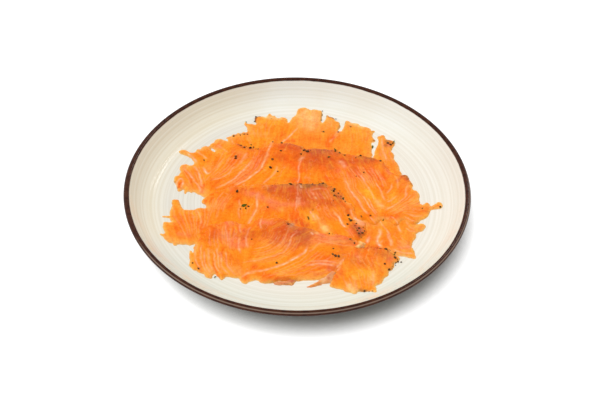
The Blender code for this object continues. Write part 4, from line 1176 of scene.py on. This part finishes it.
SLICE_FRONT = dict(
    thickness=1.8, feather=3.2, grain=(-76, 102, -48, 105, -38, 85, -25, 45, 0, 42, 20, 12, 36, 20), holes=(),
    outline=(
        -80.3, -75, -80, -70, -80.6, -65, -80.6, -61.4, -79.4, -61, -78.6, -62.6, -77.6, -63, -77.4, -60,
        -78, -57.6, -77, -54, -75, -50, -72, -44, -69, -38, -67, -33.4, -64, -31.6, -60, -31.6, -56, -29.6,
        -52, -28.4, -48, -29, -44, -31, -40, -32, -37, -31, -33, -28, -30, -25.6, -26, -25, -20, -24.4,
        -14, -24, -10, -25.6, -7, -27.6, -5, -30, -2, -32.4, 2, -33.4, 7, -34, 12, -36, 18, -39, 25, -41,
        30, -41, 36, -42, 42, -45, 46, -47.5, 49, -51, 49, -57, 44, -66, 39, -74, 34, -80, 30, -84,
        25, -86.5, 20.6, -88, 16.6, -89.6, 12, -90, 6, -90.2, 2, -90.6, 0, -89.8, -2, -89.2, -5, -89.6,
        -8, -90.6, -12, -90.6, -15, -91.2, -18, -92.8, -20.6, -93.7, -23, -94, -26, -93, -27.4, -91.4,
        -29.4, -91, -31.5, -91.6, -34.4, -92.6, -35.6, -94, -37, -94.6, -39.2, -93.4, -41, -91, -42.2, -89,
        -45, -89, -48, -88.4, -51.4, -88, -53, -90, -55, -91, -56.6, -89, -58.6, -87.4, -60.2, -85.4,
        -61.4, -87.2, -62, -89.5, -64, -89.6, -66.6, -88.4, -68, -86, -69.6, -85, -71.6, -84, -74, -82.4,
        -76.2, -81.4, -78, -79.4, -79.6, -77.4,
    ),
    fat=(
        (0.8, 0.5, -42.5, -30, -43, -36, -42, -41), (0.8, 0.55, -43, -47, -43, -54, -42, -62),
        (0.7, 0.5, -36, -35, -37, -41, -38, -48, -37, -57), (0.7, 0.5, -28, -25, -28, -30, -27, -36),
        (0.7, 0.5, 0, -39, -4, -44, -5, -52, -9, -60, -17, -65, -28, -70, -40, -73),
        (0.6, 0.4, -6, -36, -8, -43, -11, -51, -19, -58, -28, -63),
        (1, 0.7, 9, -54, 6, -61, 0, -66, -8, -73, -19, -78, -33, -82),
        # Painted highlight: the short stroke at (12, -41) is a white glint on the wet flesh, drawn as a fat
        # line
        (0.5, 0.4, -14, -43, -18, -50, -24, -55, -32, -59), (0.8, 0.85, 11.4, -39.4, 12.6, -42),
        (0.9, 0.55, -30, -83, -36, -84, -41, -88), (0.9, 0.6, 8, -75, 18, -73, 28, -74),
        (0.8, 0.6, 10, -71, 20, -70, 30, -71), (1, 0.55, 36, -66, 33, -71, 30, -76),
        (0.7, 0.4, -55, -34, -52, -44, -52, -54), (0.7, 0.35, 18, -50, 14, -56, 10, -60),
    ),
    fans=(
        (0.7, 0.5, 8, -76, -54, -77, -64, -75, -74, -69, -86, -52, -56, -52, -66, -49, -78, -42, -88),
        (0.5, 0.28, 7, -68, -36, -68, -48, -66, -58, -46, -34, -46, -46, -46, -58),
        (0.45, 0.22, 8, -12, -36, -14, -46, -22, -56, -34, -62, 4, -44, 0, -58, -14, -70, -36, -76),
        (0.4, 0.14, 7, -26, -36, -28, -46, -34, -54, -12, -36, -16, -46, -26, -58),
        (0.5, 0.25, 5, 10, -58, 2, -68, -12, -78, -28, -84, 30, -62, 18, -76, 2, -84, -16, -88),
        (0.5, 0.22, 5, 8, -80, 16, -80, 24, -80, 8, -88, 14, -88, 22, -88),
        (0.6, 0.24, 6, 13, -38, 22, -43, 34, -45, 14, -49, 28, -52, 44, -55),
    ),
    tints=(
        (RED, 6.5, 0.85, -16, -33, -6, -38, 3, -44, 9, -50), (RED, 5, 0.7, -20, -44, -8, -50, 4, -53),
        (RED, 4, 0.6, -27, -29, -24, -38, -27, -45),
        ((240, 104, 56), 5.5, 0.65, -41, -36, -40, -44, -40, -50), (RED, 5, 0.6, -22, -46, -12, -50),
        (RUST, 5.5, 0.6, -2, -42, 4, -46, 4, -51), (RED, 5, 0.75, -6, -32, 0, -40, 4, -49),
        (RED, 4.5, 0.7, -16, -32, -13, -40, -9, -47), (PINK, 1.6, 0.7, -27, -30, -21, -29.4),
        ((206, 152, 112), 2.4, 0.9, -4.6, -31, -3, -34), (RUST, 4, 0.7, -4, -35, 2, -39, 6, -44),
        (RUST, 3, 0.6, -3, -31, 0, -33), (RED, 4, 0.6, -42, -44, -38, -48),
        (RED, 4, 0.55, -62, -36, -64, -44, -63, -49), (EMBER, 2, 0.9, -54, -30, -52.6, -34),
        (PINK, 5, 0.75, -58, -40, -52, -46, -46, -50), (PINK, 3.6, 0.7, -52, -54, -42, -54, -36, -53),
        (PINK, 3.6, 0.6, -56, -32, -48, -31), (PINK, 3, 0.5, -30, -30, -24, -28, -18, -29),
        (PINK, 5, 0.6, 12, -42, 24, -43, 36, -46), (RED, 1.4, 0.6, 18, -42, 21, -44),
        (RED, 1.4, 0.6, 26, -49, 30, -49.4), (RED, 1.6, 0.5, 30, -43.4, 34, -44),
        (PALE, 2, 0.6, 22, -47.6, 27, -47), (PALE, 1.6, 0.6, 14, -39, 17, -41),
        (PINK, 3.6, 0.5, 8, -47, 18, -50, 30, -50), (EMBER, 3, 0.6, 20, -46, 24, -48),
        (EMBER, 4, 0.6, -68, -38, -74, -46, -74, -52), (AMBER, 6, 0.75, -36, -62, -22, -66, -8, -70, 4, -74),
        (AMBER, 5, 0.7, -4, -76, -16, -80, -28, -80), (AMBER, 3, 0.7, -8, -60, -16, -64),
        (AMBER, 4, 0.6, -58, -76, -56, -84, -54, -88), (AMBER, 3, 0.5, -79, -64, -79, -72),
        (AMBER, 4, 0.5, 14, -58, 24, -57, 34, -56), (EMBER, 3.6, 0.65, -52, -62, -50, -68, -46, -74),
        (EMBER, 3.6, 0.7, -34, -76, -28, -77), (EMBER, 4, 0.75, -26, -83, -14, -87, -2, -87),
        (EMBER, 4.5, 0.6, 12, -64, 20, -66, 28, -68), (EMBER, 3, 0.6, -38, -86, -37, -90),
        (RED, 4, 0.6, 22, -78, 26, -77, 30, -75), (PINK, 2.4, 0.6, 16, -74, 24, -73, 30, -71),
        (PINK, 2.2, 0.55, 20, -80, 26, -79), (PALE, 2.6, 0.6, -66, -82, -64, -87),
        (PALE, 3, 0.5, -50, -80, -44, -80, -42, -86), (PALE, 2.4, 0.5, -78, -60, -76, -57),
        (PALE, 2.6, 0.45, -24, -91, -18, -91), (PALE, 3, 0.4, 2, -88, 10, -88),
        (RUST, 1.8, 0.5, -14, -89, -6, -89, -2, -88.6), (RED, 6, 0.5, 31, -53, 37, -50, 42, -46),
        (RED, 4, 0.5, 33, -62, 36, -68), (RUST, 3.6, 0.6, 4, -35, 10, -38, 12, -41),
        (RED, 4.5, 0.6, -34, -38, -32, -47), (RED, 3, 0.6, -16, -27, -9, -30),
        (PALE, 3.4, 0.65, -65, -79, -60, -85), (HONEY, 3, 0.4, -51, -66, -48, -74),
        (AMBER, 4, 0.6, -10, -76, 0, -78), (HONEY, 2.4, 0.45, -14, -85, 2, -85),
        (RUST, 5.5, 0.55, 0, -40, 6, -44, 8, -50), (PINK, 4, 0.5, 34, -44, 43, -49, 46, -55),
        (RED, 1.6, 0.5, 38, -46, 42, -51), (PALE, 1.6, 0.5, 33, -47, 38, -50),
        (BROWN, 1.2, 0.4, -16, -91, -8, -92, -2, -92.6), (BROWN, 1.4, 0.45, -8, -28.6, -6, -31),
        (BROWN, 0.9, 0.5, -73, -79, -72, -80), (BROWN, 1.2, 0.4, 42, -47, 45, -50),
    ),
)
SLICE_FRONT_RIGHT = dict(
    thickness=1.7, feather=3, grain=(30, 105, 50, 90, 72, 80), holes=(),
    outline=(
        25, -93, 27, -88.5, 28, -84, 30, -79.5, 33, -74, 36, -68, 39, -62, 43, -56.5, 46, -55, 50, -54.8,
        55, -54.4, 60, -55.2, 65, -55.6, 67.4, -56, 70, -58, 73, -60, 75, -62, 77.4, -64, 78.2, -67,
        77.4, -69.4, 75.6, -70.6, 74, -71.2, 73.6, -74.4, 72.2, -77.4, 70, -79, 69, -80.4, 69, -83, 68, -85,
        66, -86, 65, -88.6, 64, -91, 62, -92.6, 60, -93.6, 58.8, -95, 59.6, -96.8, 59.5, -99.6, 58, -100.5,
        54, -100, 50, -100.6, 46.6, -100.6, 45, -102, 43, -102.6, 40, -101.6, 36, -100.6, 35, -99, 32, -98,
        28, -97, 25.6, -95.6,
    ),
    fat=(
        (1.2, 0.6, 37, -64, 33, -71, 29, -79), (0.8, 0.4, 36, -90, 38, -95, 40, -99),
        (1.2, 0.4, 43, -88, 44, -94, 45, -99), (0.9, 0.35, 57, -80, 58, -87, 57, -94),
    ),
    fans=(
        (0.5, 0.22, 6, 32, -82, 34, -90, 38, -98, 56, -80, 56, -90, 56, -97),
        (0.5, 0.16, 6, 40, -66, 44, -74, 50, -82, 62, -60, 64, -70, 66, -80),
    ),
    tints=(
        (EMBER, 5, 0.6, 42, -62, 52, -60, 62, -62), (EMBER, 4, 0.75, 34, -76, 30, -84, 28, -90),
        (RED, 2.4, 0.7, 46, -56, 56, -55.6, 66, -57), (RED, 3, 0.45, 66, -60, 70, -64, 68, -70),
        (AMBER, 5, 0.75, 30, -92, 38, -90, 40, -82), (AMBER, 4, 0.6, 50, -92, 54, -96, 56, -98),
        (AMBER, 4, 0.6, 60, -84, 66, -82), (SHEER, 3, 0.75, 38, -92, 41, -98, 43, -101),
        (SHEER, 2.4, 0.65, 56, -90, 57, -84, 57, -78), (AMBER, 7, 0.5, 40, -76, 50, -80, 58, -74),
        (HONEY, 5, 0.5, 42, -84, 50, -80, 58, -82), (PALE, 2, 0.5, 42, -84, 44, -88),
        (PINK, 2.4, 0.5, 70, -64, 73, -68), (PINK, 3, 0.45, 44, -60, 50, -66),
        (RED, 6, 0.45, 40, -68, 50, -70, 60, -72), (RUST, 3.2, 0.45, 60, -60, 66, -62, 70, -66),
        (BROWN, 1.6, 0.3, 68, -58, 72, -60, 75, -64), (BROWN, 1.4, 0.3, 73, -70, 73, -74, 70, -78),
        (BROWN, 1.2, 0.65, 47, -97.6, 49, -99.4, 53, -99.6), (BROWN, 0.8, 0.5, 48.4, -84.6, 48.8, -85.4),
    ),
)

# ---- Scraps of fat and skin, and the laying ---------------------------------------------------
# Three small offcuts: a wet flake of white fat on the front right slice's back edge, a limp
# sliver of fat lying over the front slice's corner, and a brown strip of skin under its edge.
SKIN_SCRAP = dict(
    thickness=1.3, feather=1.6, grain=(0, 20, 30, 40), tones=((222, 154, 104),) * 5, holes=(),
    outline=(
        -21, -89, -19, -92, -16.6, -93.4, -15.6, -94.8, -12, -95.4, -8, -95.6, -5, -95.3, -3, -95.4,
        -1.4, -94.4, -0.5, -92.8, 0.3, -91.4, 0.8, -89.4, -0.6, -87.4, -5, -85.6, -12, -85.4, -18, -86.4,
    ),
    fat=(),
    fans=(),
    tints=(
        ((196, 92, 54), 1.8, 0.8, -4.6, -92, -2.4, -91),
        ((172, 122, 96), 1.4, 0.7, -2.4, -89.6, -0.4, -89.4),
        ((226, 90, 30), 1.6, 0.8, -15, -90, -12, -89.6), ((246, 172, 122), 1.3, 0.8, -9, -90.8, -7, -91.4),
        ((204, 112, 74), 1.1, 0.6, -11, -92.6, -7, -93),
        ((244, 180, 134), 1.3, 0.6, -17, -92.8, -13.4, -93.6),
        ((190, 128, 92), 1, 0.5, -9, -94.6, -3, -94.2),
    ),
)
FAT_SLIVER = dict(
    thickness=1.2, feather=1.6, grain=(0, 20, 30, 40), tones=((236, 168, 112),) * 5, holes=(),
    outline=(
        7.2, -96.5, 10, -94.9, 12.6, -93, 15, -91.2, 16.8, -89.8, 17.2, -88.2, 19, -86.6, 22, -84.6,
        24.4, -81.8, 27.4, -79.6, 29.6, -81, 29.4, -86, 28.4, -90, 26.4, -92, 23.4, -92.5, 19.6, -93.3,
        18.9, -94.8, 16, -95.2, 13.8, -96.5, 10.4, -97.2, 8.2, -97.1,
    ),
    fat=(),
    fans=(),
    tints=(
        ((228, 136, 76), 2.4, 0.85, 7, -96.6, 12, -95.4, 17.6, -93.4),
        ((206, 98, 56), 1.4, 0.8, 14.6, -92.6, 18, -91.4),
        ((246, 200, 156), 1.8, 0.9, 18.6, -88.6, 22, -85.6),
        ((208, 146, 104), 1.8, 0.8, 24.6, -84, 26.6, -81.6),
        ((200, 104, 68), 1.7, 0.8, 24, -88.6, 25, -85.8),
        ((248, 190, 140), 1.4, 0.7, 20.4, -91.4, 22.6, -89.6),
        ((230, 140, 88), 1.2, 0.6, 22, -91.6, 25, -91),
    ),
)
FAT_SCRAP = dict(
    thickness=1.2, feather=1.2, grain=(0, 20, 30, 40), tones=((250, 176, 96),) * 5, holes=(),
    outline=(
        44.2, -54, 45, -52.5, 46.4, -51.3, 47.3, -50.4, 46.9, -49, 46.8, -47.4, 48.3, -47.2, 50, -48.6,
        51.6, -49.2, 53, -50.5, 52.6, -51.7, 51.2, -51.8, 51.9, -53, 50.9, -54.1, 48.8, -54, 47.6, -54.7,
        45.8, -54.4,
    ),
    fat=(),
    fans=(),
    tints=(
        ((252, 214, 150), 1.2, 0.95, 45.4, -53.4, 46.6, -52.2, 47.8, -51.4),
        ((242, 184, 140), 1.1, 0.9, 49, -53.4, 50.8, -53.2),
        ((254, 194, 124), 1, 0.8, 47.8, -48.2, 49.4, -49.2, 52, -50.6),
        ((226, 132, 60), 0.7, 0.8, 49, -51.8, 50.6, -51.8),
        ((232, 130, 60), 0.7, 0.6, 48.2, -53.9, 47.8, -52.9),
    ),
)

heap = Heap()
salmon = flesh_material("cured salmon", (0.22, 0.42), 0.5, 0.25 * MM)
white_fat = flesh_material("salmon fat", (0.18, 0.35), 0.5, 0.3 * MM)
brown_skin = flesh_material("salmon skin", (0.25, 0.5), 1.2, 0.4 * MM)
for laid_name, laid_design, laid_slot, laid_material, laid_seed in (
        ("slice_back", SLICE_BACK, "salmon", salmon, 100),
        ("slice_back_right", SLICE_BACK_RIGHT, "salmon", salmon, 200),
        ("slice_right", SLICE_RIGHT, "salmon", salmon, 300),
        ("slice_second", SLICE_SECOND, "salmon", salmon, 400),
        ("slice_third", SLICE_THIRD, "salmon", salmon, 500),
        ("skin_scrap", SKIN_SCRAP, "skin", brown_skin, 910),
        ("slice_front", SLICE_FRONT, "salmon", salmon, 600),
        ("fat_sliver", FAT_SLIVER, "fat", white_fat, 920),
        ("slice_front_right", SLICE_FRONT_RIGHT, "salmon", salmon, 700),
        ("fat_scrap", FAT_SCRAP, "fat", white_fat, 900)):
    lay_sheet(laid_name, laid_design, heap, laid_material, laid_slot, laid_seed)

# ---- Pepper -----------------------------------------------------------------------------------
# Coarsely crushed black pepper from the cure, in grains and flakes of 0.15 to 3 mm that stuck to
# the crust; single grains lie scattered over the flesh and the plate.
PEPPER_SEED = 31
PEPPER_RISE = 0.15
GOLDEN = (1.0 + math.sqrt(5.0)) / 2.0
# x, y and size of each grain, in millimetres, on the level NOTE_LEVEL
PEPPER = np.reshape((
    -76, 41, 2, -50.5, 46.5, 2.4, -50.5, 44, 2.2, -20.7, 43.5, 2.3, -22, 33.5, 3.2, -39, 57, 2.8,
    -38.5, 61, 2, -36.6, 58, 1.8, -44, 57.5, 2.6, -47, 60, 1.8, -13.7, 64, 2.4, -14, 54, 2, -21, 65, 1.9,
    -16, 29, 1.5, -5, 14, 2.4, 5, 55, 2.4, 7.6, 53.8, 3.2, 2.5, 50.5, 1.9, 25, 47, 1.7, 30.5, 54.5, 2.1,
    34, 53, 1.8, 38, 50, 1.7, 51, 49.8, 2.2, 67, 43.7, 2.2, 47, 47, 1.3, 53, 29.5, 1.8, 47, 25, 1.3,
    112, -9, 2, 28.7, 7, 3, 29.4, 9.4, 2, 32.5, 4.5, 1.8, 29, 2, 2, 34.4, 1, 1.3, 36, -2, 1.6, 28.5, -4, 1.2,
    37.5, -5, 1.2, 40, -20, 2.3, 41.5, -26, 2.6, 40.5, -24, 1.9, 39, -30, 2, 50, -21, 2, 57, -20, 1.8,
    46, -29, 1.5, 48, -34, 2, 50.4, -39.5, 2.9, 47.5, -39.8, 2.4, 52, -37, 1.6, 44.6, -31.5, 1.2,
    46.5, -36.5, 1.5, 51, -33, 1.2, 25, -40.5, 1.8, 44, -50.4, 1.9, 67.5, -56, 2.4, 74.5, -60, 2.2,
    74.5, -65, 2.3, 76.5, -69, 2.3, 79, -69.7, 2, 66.5, -71.5, 2.1, 69.5, -77.5, 2.6, 28, -56.5, 1.8,
    27.5, -62.5, 2.1, 29.5, -64, 2.7, 31.8, -64.5, 2.6, -47.3, 4.5, 3.2, -38, -12, 2.2, -40, -14.5, 2.3,
    -44, -15, 1.4, -23, -12.5, 1.8, -34, -48, 1.5, -14.3, -72.5, 2.5, -77.3, -74, 1.8, -72.5, -79.5, 1.9,
    -59.5, -88, 1.8, -6.5, -31, 2, -53.5, 71.5, 2, -48, 73, 1.4, -45, 74, 1.3, -42, 74, 1.6, 21, 79, 2.2,
    33, 79, 1.5, 43.5, 86, 1.6, 19, 94, 1.3, -36, 97, 1.8, -37, 91, 1.5, 20, 106, 1.3, 74, 66, 2.4,
    76, 64, 2.1, 78, 66, 2, 50.5, -99.8, 2.1, 20.5, 15.7, 2.4, 12, 15, 1.6, 3, 14.6, 1.5,
), (-1, 3))
# Bands of crust dust: count, half-width and largest grain in millimetres, and line
CRUST = (
    (40, 1.3, 1, -50, 61, -44, 58, -38, 57, -32, 56), (30, 1.2, 1, 2, 57, 10, 55, 20, 55, 30, 54, 36, 51),
    (20, 1.2, 0.9, 44, 49, 54, 47, 66, 43), (46, 1.2, 1, -26, 13, -8, 14, 6, 15, 18, 15.5, 26, 13),
    (60, 3.2, 0.95, 28, 10, 30, 5, 33, 0, 36, -6), (40, 2, 0.95, 43.5, -25, 45.5, -31, 48, -38, 49, -45),
    (24, 1.6, 1.2, 62, -57, 70, -57, 75, -61, 77, -66), (16, 1.4, 1.2, 76, -69, 72, -75, 69, -78),
    (12, 1, 1, 46, -100, 52, -101, 57, -99), (26, 1.8, 1.2, 72, 67, 76, 65, 79, 67),
    (14, 0.9, 0.9, -37, 90, -36, 96, -32, 98), (12, 0.9, 0.9, 24, 100, 30, 97, 34, 91),
    (16, 1.2, 1, 16, -40, 30, -42, 42, -47), (14, 1.5, 1, -8, -28, -3, -31),
)
BALL_FACES = np.reshape((
    0, 11, 5, 0, 5, 1, 0, 1, 7, 0, 7, 10, 0, 10, 11, 1, 5, 9, 5, 11, 4, 11, 10, 2, 10, 7, 6, 7, 1, 8,
    3, 9, 4, 3, 4, 2, 3, 2, 6, 3, 6, 8, 3, 8, 9, 4, 9, 5, 2, 4, 11, 6, 2, 10, 8, 6, 7, 9, 8, 1,
), (-1, 3))


def grain_shape(draw, count):
    """Corners of crushed grains about 1 across: a ball of 12 corners (the icosahedron) with each
    corner pushed in or out at random, and each grain squashed and drawn out differently."""
    ball = np.array([(-1, GOLDEN, 0), (1, GOLDEN, 0), (-1, -GOLDEN, 0), (1, -GOLDEN, 0),
                     (0, -1, GOLDEN), (0, 1, GOLDEN), (0, -1, -GOLDEN), (0, 1, -GOLDEN),
                     (GOLDEN, 0, -1), (GOLDEN, 0, 1), (-GOLDEN, 0, -1), (-GOLDEN, 0, 1)])
    ball = 0.5 * ball / np.linalg.norm(ball[0])
    push = draw.uniform(0.65, 1.2, (count, 12, 1))
    squash = np.stack([draw.uniform(0.75, 1.25, count), draw.uniform(0.55, 0.95, count),
                       draw.uniform(0.35, 0.7, count)], axis=1)[:, None]
    return ball[None] * push * squash


def crust_dust(draw):
    """Places and sizes of the dust, spread along each band's line and across it by a bell curve."""
    places, sizes = [], []
    for count, half_width, largest, *numbers in CRUST:
        line = pairs(numbers)
        curve = smooth_line(line, 8, False) if len(line) > 2 else line
        at = draw.uniform(0.0, len(curve) - 1.001, count)
        low = at.astype(int)
        spot = curve[low] + (at - low)[:, None] * (curve[low + 1] - curve[low])
        places.append(spot + draw.normal(0.0, 0.5, (count, 2)) * half_width)
        sizes.append((0.15 + 0.85 * draw.uniform(0.0, 1.0, count) ** 2.4) * largest)
    return np.concatenate(places), np.concatenate(sizes)


def set_down(shapes, shape_faces, turn, places, heights):
    """Many small shapes as one mesh: each is turned about the vertical by its own angle, moved to
    its place, and raised to its height."""
    cos, sin = np.cos(turn)[:, None], np.sin(turn)[:, None]
    x = shapes[..., 0] * cos - shapes[..., 1] * sin + places[:, 0, None]
    y = shapes[..., 0] * sin + shapes[..., 1] * cos + places[:, 1, None]
    z = shapes[..., 2] + heights[:, None]
    shift = (np.arange(len(places)) * shapes.shape[1])[:, None, None]
    return np.stack([x, y, z], axis=2).reshape(-1, 3), (shape_faces[None] + shift).reshape(-1, 3)


def pepper_material():
    """Near-black husk with brown and grey-green broken faces."""
    material, tree, shader = new_material("crushed pepper", Roughness=0.85, Specular_IOR_Level=0.15)
    spot = place(tree, "ShaderNodeTexCoord").outputs["Object"]
    fine = noise(tree, spot, 2600.0, 2.0)
    husk = blend(tree, ramp(tree, noise(tree, spot, 420.0, 1.0), 0.4, 0.62), (44, 28, 16), (112, 74, 42))
    tree.links.new(blend(tree, ramp(tree, fine, 0.5, 0.7, 0.0, 0.4), husk, (128, 112, 76)),
                   shader.inputs["Base Color"])
    dent(tree, shader, 0.7, 0.2 * MM, fine)
    return material


draw = np.random.default_rng(PEPPER_SEED)
dust_places, dust_sizes = crust_dust(draw)
pepper_sizes = np.concatenate([PEPPER[:, 2], dust_sizes]) * MM
pepper_places, pepper_heights = settle(np.concatenate([PEPPER[:, :2], dust_places]) * MM, heap.surface)
pepper_shapes = grain_shape(draw, len(pepper_places)) * pepper_sizes[:, None, None]
pepper_turns = draw.uniform(0.0, 2.0 * math.pi, len(pepper_places))
pepper = new_piece("pepper_grains", *set_down(
    pepper_shapes, BALL_FACES, pepper_turns, pepper_places, pepper_heights + pepper_sizes * PEPPER_RISE),
    pepper_material())
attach(pepper, "root")

# ---- Dill -------------------------------------------------------------------------------------
# A few snips of dill frond left from the cure: dark green flat shreds, pressed on to the flesh.
DILL_SEED = 57
# x, y, length and width in millimetres, and direction in degrees, on the level NOTE_LEVEL
DILL = np.reshape((
    -41.5, -11, 4.4, 3, 28, 61.3, 61, 4, 1.5, 80, 30.5, 55.8, 4, 1.6, 95, 25, 47.6, 2.6, 1.2, 20,
    36, -1, 2.4, 1.2, 40, 41, -46, 2, 1.1, 10, 67, -25, 2, 0.9, 60, -6, 15, 2.2, 0.9, 5, 20, 16, 2.4, 1, 170,
    41, -25, 2.2, 0.9, 120, 79, 68, 2.2, 1, 70, 20, 101, 2.4, 0.7, 85, -44, 90, 1.8, 0.8, 100,
    98, -11, 1.6, 0.8, 30, 9, -24, 3.4, 0.6, 105, 74, -62, 1.8, 0.9, 50, -60, -88.5, 1.8, 0.8, 100,
), (-1, 5))
DILL_ROWS = 7
DILL_THICKNESS = 0.25


def shred_shape(draw, lengths, widths):
    """Flat leaf shreds: rows of two corners above and two below, along a gently bent midrib, whose
    half-width is the sine of the share of the length, and which curl up a little at the ends."""
    share = np.linspace(0.0, 1.0, DILL_ROWS)[None]
    count = len(lengths)
    along = (share - 0.5) * lengths[:, None]
    half = 0.5 * widths[:, None] * np.maximum(np.sin(math.pi * share), 0.18)
    half = half * draw.uniform(0.75, 1.2, (count, DILL_ROWS))
    bend = draw.uniform(-0.25, 0.25, (count, 1)) * lengths[:, None] * (share - 0.5) ** 2 * 4.0
    curl = draw.uniform(0.02, 0.2, (count, 1)) * lengths[:, None] * (share - 0.5) ** 2 * 4.0
    rows = [np.stack([along, bend + side * half, curl + level * DILL_THICKNESS], axis=2)
            for side, level in ((1.0, 0.0), (-1.0, 0.0), (-1.0, -1.0), (1.0, -1.0))]
    return np.stack(rows, axis=2).reshape(count, -1, 3)


def shred_faces():
    """Triangles of one shred: four strips between neighbouring rows, and a cap at each end."""
    row = np.arange(4)
    strips = [ring_faces(4 * k + row, 4 * (k + 1) + row) for k in range(DILL_ROWS - 1)]
    last = 4 * (DILL_ROWS - 1)
    caps = np.array([(0, 1, 2), (0, 2, 3), (last, last + 2, last + 1), (last, last + 3, last + 2)])
    return np.concatenate(strips + [caps])[:, ::-1]


def dill_material():
    """Dark green leaf with paler veins."""
    material, tree, shader = new_material("dill", Roughness=0.7, Specular_IOR_Level=0.15)
    veins = noise(tree, place(tree, "ShaderNodeTexCoord").outputs["Object"], 900.0, 3.0)
    tree.links.new(blend(tree, ramp(tree, veins, 0.35, 0.65), (38, 50, 0), (92, 98, 8)),
                   shader.inputs["Base Color"])
    dent(tree, shader, 0.5, 0.2 * MM, veins)
    return material


draw = np.random.default_rng(DILL_SEED)
dill_places, dill_heights = settle(DILL[:, :2] * MM, heap.surface)
dill_shapes = shred_shape(draw, DILL[:, 2], DILL[:, 3]) * MM
dill = new_piece("dill_shreds", *set_down(
    dill_shapes, shred_faces(), np.radians(DILL[:, 4]), dill_places, dill_heights + DILL_THICKNESS * MM),
    dill_material())
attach(dill, "root")
